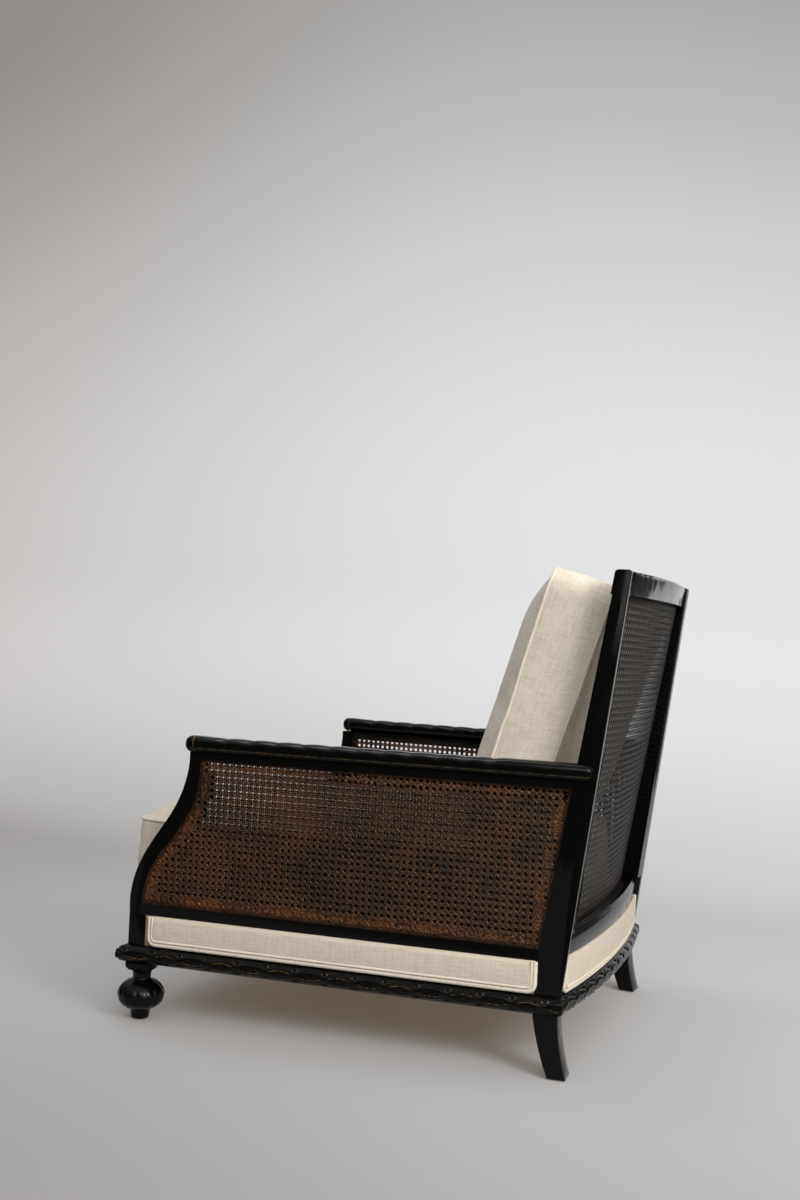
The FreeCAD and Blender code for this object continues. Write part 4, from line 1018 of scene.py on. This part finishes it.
def boxed_cushion(name, edge, counts, boxing, swell, tops, bottoms, finish, lay):
    """Two domed panels joined by a boxing strip. lay(x, y, h) carries a point to the chair."""
    nu, nv = counts
    bm = bmesh.new()
    layer = bm.loops.layers.uv.new("finish")
    corners = [edge(k, 0) for k in range(4)]

    def plan(u, v):
        south, north = edge(0, u), edge(2, 1 - u)
        east, west = edge(1, v), edge(3, 1 - v)
        blend = (corners[0] * (1 - u) * (1 - v) + corners[1] * u * (1 - v)
                 + corners[2] * u * v + corners[3] * (1 - u) * v)
        return south * (1 - v) + north * v + west * (1 - u) + east * u - blend

    def panel(height, dome, reaches):
        grid = []
        for j in range(nv + 1):
            row = []
            for i in range(nu + 1):
                u, v = i / nu, j / nv
                flat = plan(u, v)
                share = (rise(2 * min(u, 1 - u), reaches[0]) * rise(2 * v, reaches[1])
                         * rise(2 * (1 - v), reaches[2]))
                row.append(((flat.x, flat.y), height + dome * share))
            grid.append(row)
        return grid

    def rim(grid):
        ring = [grid[0][i] for i in range(nu)] + [grid[j][nu] for j in range(nv)]
        return ring + [grid[nv][nu - i] for i in range(nu)] + [grid[nv - j][0] for j in range(nv)]

    upper, lower = panel(boxing, tops[0], tops[1]), panel(0.0, -bottoms[0], bottoms[1])
    loops = []
    for grid in (upper, lower):
        made = [[bm.verts.new(lay(x, y, h)) for (x, y), h in row] for row in grid]
        for j in range(nv):
            for i in range(nu):
                quad = square(j, i)
                if grid is lower:
                    quad = quad[::-1]
                add_face(bm, [made[a][b] for a, b in quad], layer, [grid[a][b][0] for a, b in quad])
        loops.append(rim(made))
    outline = [Vector(item[0]) for item in rim(upper)]
    total = len(outline)
    lengths = [0.0]
    for k in range(total):
        lengths.append(lengths[-1] + (outline[(k + 1) % total] - outline[k]).length)
    steps = max(3, int(boxing / 0.010))
    rows = [loops[0]]
    for step in range(1, steps):
        share = step / steps
        ring = []
        for k, flat in enumerate(outline):
            tangent = (outline[(k + 1) % total] - outline[k - 1]).normalized()
            spot = flat + Vector((tangent.y, -tangent.x)) * swell * math.sin(math.pi * share)
            ring.append(bm.verts.new(lay(spot.x, spot.y, boxing * (1 - share))))
        rows.append(ring)
    rows.append(loops[1])
    for n, (a, b) in enumerate(zip(rows, rows[1:])):
        high, low = boxing * (1 - n / steps), boxing * (1 - (n + 1) / steps)
        for k in range(total):
            m = (k + 1) % total
            add_face(bm, (a[k], b[k], b[m], a[m]), layer, (
                (lengths[k], high), (lengths[k], low), (lengths[k + 1], low), (lengths[k + 1], high)))
    bmesh.ops.recalc_face_normals(bm, faces=bm.faces)
    bm.verts.index_update()
    seams = [[v.index for v in ring] for ring in loops]
    return from_bmesh(name, bm, finish), seams


def keep_clear(piece, limit):
    for vertex in piece.data.vertices:
        vertex.co = limit(vertex.co.copy())


def fill_with_air(piece, pressure, cap, held_below, limit):
    """Let the cover swell as cloth, no further than a cap, then keep it clear of what it touches.

    Points lower than held_below stay where they are sewn.
    """
    rest = [v.co.copy() for v in piece.data.vertices]
    group = piece.vertex_groups.new(name="held")
    group.add([k for k, p in enumerate(rest) if p.z < held_below], 1.0, "REPLACE")
    cloth = piece.modifiers.new("cover", "CLOTH")
    for key, value in (("quality", 6), ("mass", 0.25), ("tension_stiffness", 22),
                       ("compression_stiffness", 22), ("shear_stiffness", 8),
                       ("bending_stiffness", 0.6), ("use_pressure", True),
                       ("uniform_pressure_force", pressure), ("vertex_group_mass", "held")):
        setattr(cloth.settings, key, value)
    cloth.settings.effector_weights.gravity = 0
    cloth.collision_settings.use_self_collision = False
    scene = bpy.context.scene
    for step in range(1, 21):
        scene.frame_set(step)
    swollen = piece.evaluated_get(bpy.context.evaluated_depsgraph_get())
    moved = [v.co.copy() for v in swollen.to_mesh().vertices]
    swollen.to_mesh_clear()
    piece.modifiers.clear()
    scene.frame_set(1)
    for vertex, start, end in zip(piece.data.vertices, rest, moved):
        step = end - start
        if step.length > cap:
            step *= cap / step.length
        vertex.co = start + step
    piece.vertex_groups.clear()
    keep_clear(piece, limit)
    finer = piece.modifiers.new("finer", "SUBSURF")
    finer.levels = finer.render_levels = 1
    settle(piece)
    keep_clear(piece, limit)
    shade_smooth(piece.data)


PIPING_RADIUS, PIPING_OUT = 0.0029, 0.0016


def piping(piece, seams, kind, ends, lowest):
    """Piped seams along the cushion's own edge points, a little outside them and not below lowest."""
    for ring, end in zip(seams, ends):
        verts = [piece.data.vertices[k] for k in ring]
        points = [v.co + v.normal * PIPING_OUT for v in verts]
        count = len(points)
        points = [(points[k - 1] + points[k] * 2 + points[(k + 1) % count]) / 4 for k in range(count)]
        cord = fabric_cord("%s_piping_%s" % (kind, end), points, PIPING_RADIUS, 10, closed=True)
        for vertex in cord.data.vertices:
            vertex.co.z = max(vertex.co.z, lowest)
        ready(cord, kind + "_cushion", kind + "_cushion_piping")


SEAT_TOP, BACK_FOOT = 0.3930, 0.3933
SEAT_FOOT, SEAT_BOXING, SEAT_CROWN, SEAT_FRONT, SEAT_REAR = 0.2480, 0.1140, 0.0360, 0.0280, 0.762
STILE_WIDE, ARM_CLEAR = 0.030, 0.020
inner = HALF_FRONT - STILE_WIDE - ARM_CLEAR
slope = math.tan(SPLAY)
seat_edge = cushion_plan(inner + SEAT_FRONT * slope, inner - SEAT_REAR * slope, -SEAT_FRONT, SEAT_REAR,
                         0.030, 0.022)
seat_low, seat_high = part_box("seat_cushion")


def seat_lay(x, y, h):
    forward = 0.010 * smooth(h / SEAT_BOXING) * smooth(1 - y / 0.12)
    return Vector((x, y + DRAWING_Y - forward, SEAT_FOOT + h))


def seat_limit(p):
    p.z = min(max(p.z, SEAT_FOOT + 0.0002), SEAT_TOP)
    p.y = min(max(p.y, seat_low.y - 0.030), seat_high.y)
    return p


seat, seat_seams = boxed_cushion(
    "seat_cushion_cover", seat_edge, (64, 74), SEAT_BOXING, 0.006,
    (SEAT_CROWN - 0.004, (0.62, 0.20, 0.14)), (0.0, (0.5, 0.5, 0.5)), linen_seat, seat_lay)
fill_with_air(seat, 3.5, 0.012, SEAT_FOOT + 0.002, seat_limit)
ready(seat, "seat_cushion", "seat_cushion")
piping(seat, seat_seams, "seat", ("top", "foot"), SEAT_FOOT + 0.0002)

BACK_REAR_Y, BACK_THICK, BACK_HEIGHT, BACK_HALF = 0.723, 0.110, 0.465, 0.294
BACK_TILT = 17.5
back_lean = math.radians(90 - BACK_TILT)
back_edge = cushion_plan(BACK_HALF, BACK_HALF, 0.0, BACK_HEIGHT, 0.034, 0.032)


def back_lay(x, y, h):
    foot = (BACK_FOOT - SEAT_TOP - h * math.cos(back_lean)) / math.sin(back_lean)
    y = foot + (BACK_HEIGHT - foot) * y / BACK_HEIGHT
    forward = 0.008 * (y / BACK_HEIGHT - 0.45) * smooth(h / 0.05)
    return Vector((x, BACK_REAR_Y + DRAWING_Y + y * math.cos(back_lean) - h * math.sin(back_lean) - forward,
                   SEAT_TOP + y * math.sin(back_lean) + h * math.cos(back_lean)))


def back_limit(p):
    p.z = max(p.z, BACK_FOOT)
    behind = (BACK_REAR_Y + DRAWING_Y + 0.024 * math.sin(back_lean)
              + (p.z - SEAT_TOP + 0.0072) * math.tan(math.radians(BACK_TILT)))
    p.y = min(p.y, behind)
    return p


back, back_seams = boxed_cushion(
    "back_cushion_cover", back_edge, (60, 50), BACK_THICK, 0.003,
    (0.050, (0.66, 0.6, 0.50)), (0.018, (0.5, 0.5, 0.5)), linen_back, back_lay)
fill_with_air(back, 3.0, 0.008, BACK_FOOT + 0.001, back_limit)
ready(back, "back_cushion", "back_cushion")
piping(back, back_seams, "back", ("front", "rear"), BACK_FOOT)

# Deck, dust cover and hardware

DECK_SIDE, DECK_FRONT, DECK_REAR = 0.038, 0.004, 0.764
deck_low, deck_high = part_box("deck_pad")
deck_edge = cushion_plan(HALF_FRONT - DECK_SIDE - DECK_FRONT * slope,
                         HALF_FRONT - DECK_SIDE - DECK_REAR * slope, DECK_FRONT, DECK_REAR, 0.010, 0.001)
deck, _ = boxed_cushion(
    "deck_pad_cover", deck_edge, (40, 44), deck_high.z - deck_low.z - 0.006, 0.002,
    (0.0058, (0.12, 0.10, 0.10)), (0.0, (0.5, 0.5, 0.5)), lining,
    lambda x, y, h: Vector((x, y + DRAWING_Y, deck_low.z + h)))
ready(deck, "frame", "deck_pad")


def flat_cloth(name, node, finish):
    """A thin stretched cloth under or over the seat frame."""
    low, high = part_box(node)
    bm = bmesh.new()
    bm.from_mesh(nodes[node].data)
    bmesh.ops.remove_doubles(bm, verts=bm.verts, dist=0.00002)
    upper = [f for f in bm.faces if f.normal.z > 0.9]
    area = sum(f.calc_area() for f in upper)
    bmesh.ops.delete(bm, geom=[f for f in bm.faces if f not in set(upper)], context="FACES")
    bmesh.ops.dissolve_limit(bm, angle_limit=0.01, verts=bm.verts, edges=bm.edges)
    bmesh.ops.triangulate(bm, faces=bm.faces)
    bmesh.ops.subdivide_edges(bm, edges=bm.edges, cuts=5, use_grid_fill=True)
    for v in bm.verts:
        v.co.z = high.z - 0.0002
    piece = from_bmesh(name, bm, finish)
    thick = piece.modifiers.new("cloth", "SOLIDIFY")
    thick.thickness, thick.offset = (high.z - low.z) * 0.6, -1.0
    settle(piece)
    ready(piece, "frame", node)


flat_cloth("deck_cloth_cover", "deck_cloth", lining)
flat_cloth("dust_cover_cloth", "dust_cover", dust_cloth)

for finish, names in ((steel, ("seat_springs", "spring_clips", "screws")), (nylon, ("foot_glides",)),
                      (wood_inner, ("dowels", "corner_blocks", "front_seat_rail", "rear_seat_rail",
                                    "side_seat_rail_left", "side_seat_rail_right"))):
    for name in names:
        coat(nodes[name], finish)

# Studio


def camera():
    turn, tilt, roll = math.radians(110.449), math.radians(1.449), math.radians(2.67)
    forward = Vector((-math.sin(turn) * math.cos(tilt), math.cos(turn) * math.cos(tilt), math.sin(tilt)))
    right = Vector((math.cos(turn), math.sin(turn), 0))
    up = right.cross(forward)
    rolled_right = right * math.cos(roll) + up * math.sin(roll)
    rolled_up = up * math.cos(roll) - right * math.sin(roll)
    data = bpy.data.cameras.new("camera")
    data.sensor_fit, data.sensor_height, data.sensor_width, data.lens = "VERTICAL", 36.0, 24.0, 40.0
    made = placed("camera", data)
    made.matrix_world = (Matrix.Translation((2.549, 0.8669, 0.735))
                         @ Matrix((rolled_right, rolled_up, -forward)).transposed().to_4x4())
    bpy.context.scene.camera = made


def backdrop():
    """A pale paper sweep, no wider than the picture needs: floor, a wide curve and a wall. Its colour
    carries painted shade, and a painted warm glow lifts its shadows.
    """
    wall, curve, near, left, right = 2.1, 0.9, 1.35, -3.0, 0.88
    path = [(near, 0.0), (0.6, 0.0), (0.0, 0.0), (-0.6, 0.0)]
    path += [(-wall + curve - curve * math.sin(t), curve - curve * math.cos(t))
             for t in (math.pi / 2 * k / 16 for k in range(17))]
    path += [(-wall, 1.6), (-wall, 2.4), (-wall, 3.4)]
    rows = [[Vector((x, left + (right - left) * k / 10, z)) for k in range(11)] for x, z in path]
    made, g, shader = material("studio paper")
    x, y, z = g.split(object_place(g))
    # Painted shade and light: the floor darkens to the left and towards the camera and lightens behind the
    # chair, with a soft cloud; the wall darkens near the floor and high up.
    cloud = g.noise(object_place(g), 0.9, 2.0, 0.5)
    sides = g.ramp(g.plus(y, g.times(cloud, 0.6)), -2.2, 0.6)
    floor = g.mix(sides, (0.255, 0.275, 0.298, 1), (0.415, 0.445, 0.478, 1))
    floor = g.mix(g.ramp(x, -0.2, 1.2), floor, (0.230, 0.245, 0.262, 1))
    wall_shade = g.mix(g.ramp(z, 0.05, 0.9), (0.545, 0.58, 0.62, 1), (0.80, 0.84, 0.885, 1))
    wall_shade = g.mix(g.ramp(z, 1.1, 3.3), wall_shade, (0.345, 0.37, 0.395, 1))
    # Painted light: a warm glow, seen by camera, glossy and transmission rays, lifts the chair's shadow on
    # the paper.
    ray = g.node("ShaderNodeLightPath").outputs
    seen = g.math("MAXIMUM", ray["Is Camera Ray"],
                  g.math("MAXIMUM", ray["Is Glossy Ray"], ray["Is Transmission Ray"]))
    g.fill(shader, {"Base Color": g.mix(g.ramp(x, -2.0, -1.1, 1.0, 0.0), floor, wall_shade),
                    "Emission Color": (1.0, 0.76, 0.55, 1), "Emission Strength": g.times(seen, 0.105),
                    "Roughness": 0.9, "Specular IOR Level": 0.15})
    sweep = strip_mesh("studio_sweep", rows, made)
    bm = bmesh.new()
    bm.from_mesh(sweep.data)
    bm.normal_update()
    if sum(f.normal.z for f in bm.faces if f.calc_center_median().z < 0.001) < 0:
        bmesh.ops.reverse_faces(bm, faces=bm.faces)
    bm.to_mesh(sweep.data)
    bm.free()


def lamp(name, place, target, size, power, colour):
    data = bpy.data.lights.new(name, "AREA")
    data.shape, data.size, data.size_y = "RECTANGLE", size[0], size[1]
    data.energy, data.color = power, colour
    made = placed(name, data)
    made.location = place
    made.rotation_euler = (Vector(target) - Vector(place)).to_track_quat("-Z", "Y").to_euler()


def surround():
    """A dim room: soft light from above, a warm glow low on the window side, dark by the camera."""
    world = bpy.data.worlds.new("room")
    bpy.context.scene.world = world
    world.use_nodes = True
    world.node_tree.nodes.clear()
    g = Graph(world.node_tree)
    heading = g.node("ShaderNodeTexCoord").outputs["Generated"]
    height = g.split(heading)[2]
    toward = g.dot(heading, (0.34, 0.93, 0.10))
    glow = g.times(g.ramp(toward, 0.45, 0.95), g.ramp(height, -0.05, 0.05))
    level = g.plus(g.times(g.ramp(height, 0.25, 0.85), 0.68), g.times(glow, 1.1))
    shade = g.node("ShaderNodeBackground", {
        "Color": g.mix(glow, (0.97, 0.98, 1.0, 1), (1.0, 0.80, 0.60, 1)), "Strength": g.plus(level, 0.10)})
    g.node("ShaderNodeOutputWorld", {0: shade.outputs[0]})


camera()
backdrop()
surround()
lamp("key", (1.80, 2.45, 1.70), (0.0, 0.0, 0.3), (1.0, 1.1), 60, (0.97, 0.985, 1.0))
lamp("fill", (2.7, 0.9, 2.1), (0.0, 0.0, 0.5), (2.0, 1.5), 26, (1.0, 0.99, 0.97))
lamp("wall wash", (-0.2, -0.6, 3.3), (-1.9, -0.6, 0.9), (1.6, 1.0), 20, (0.97, 0.985, 1.0))
bpy.context.scene.view_settings.view_transform = "Standard"
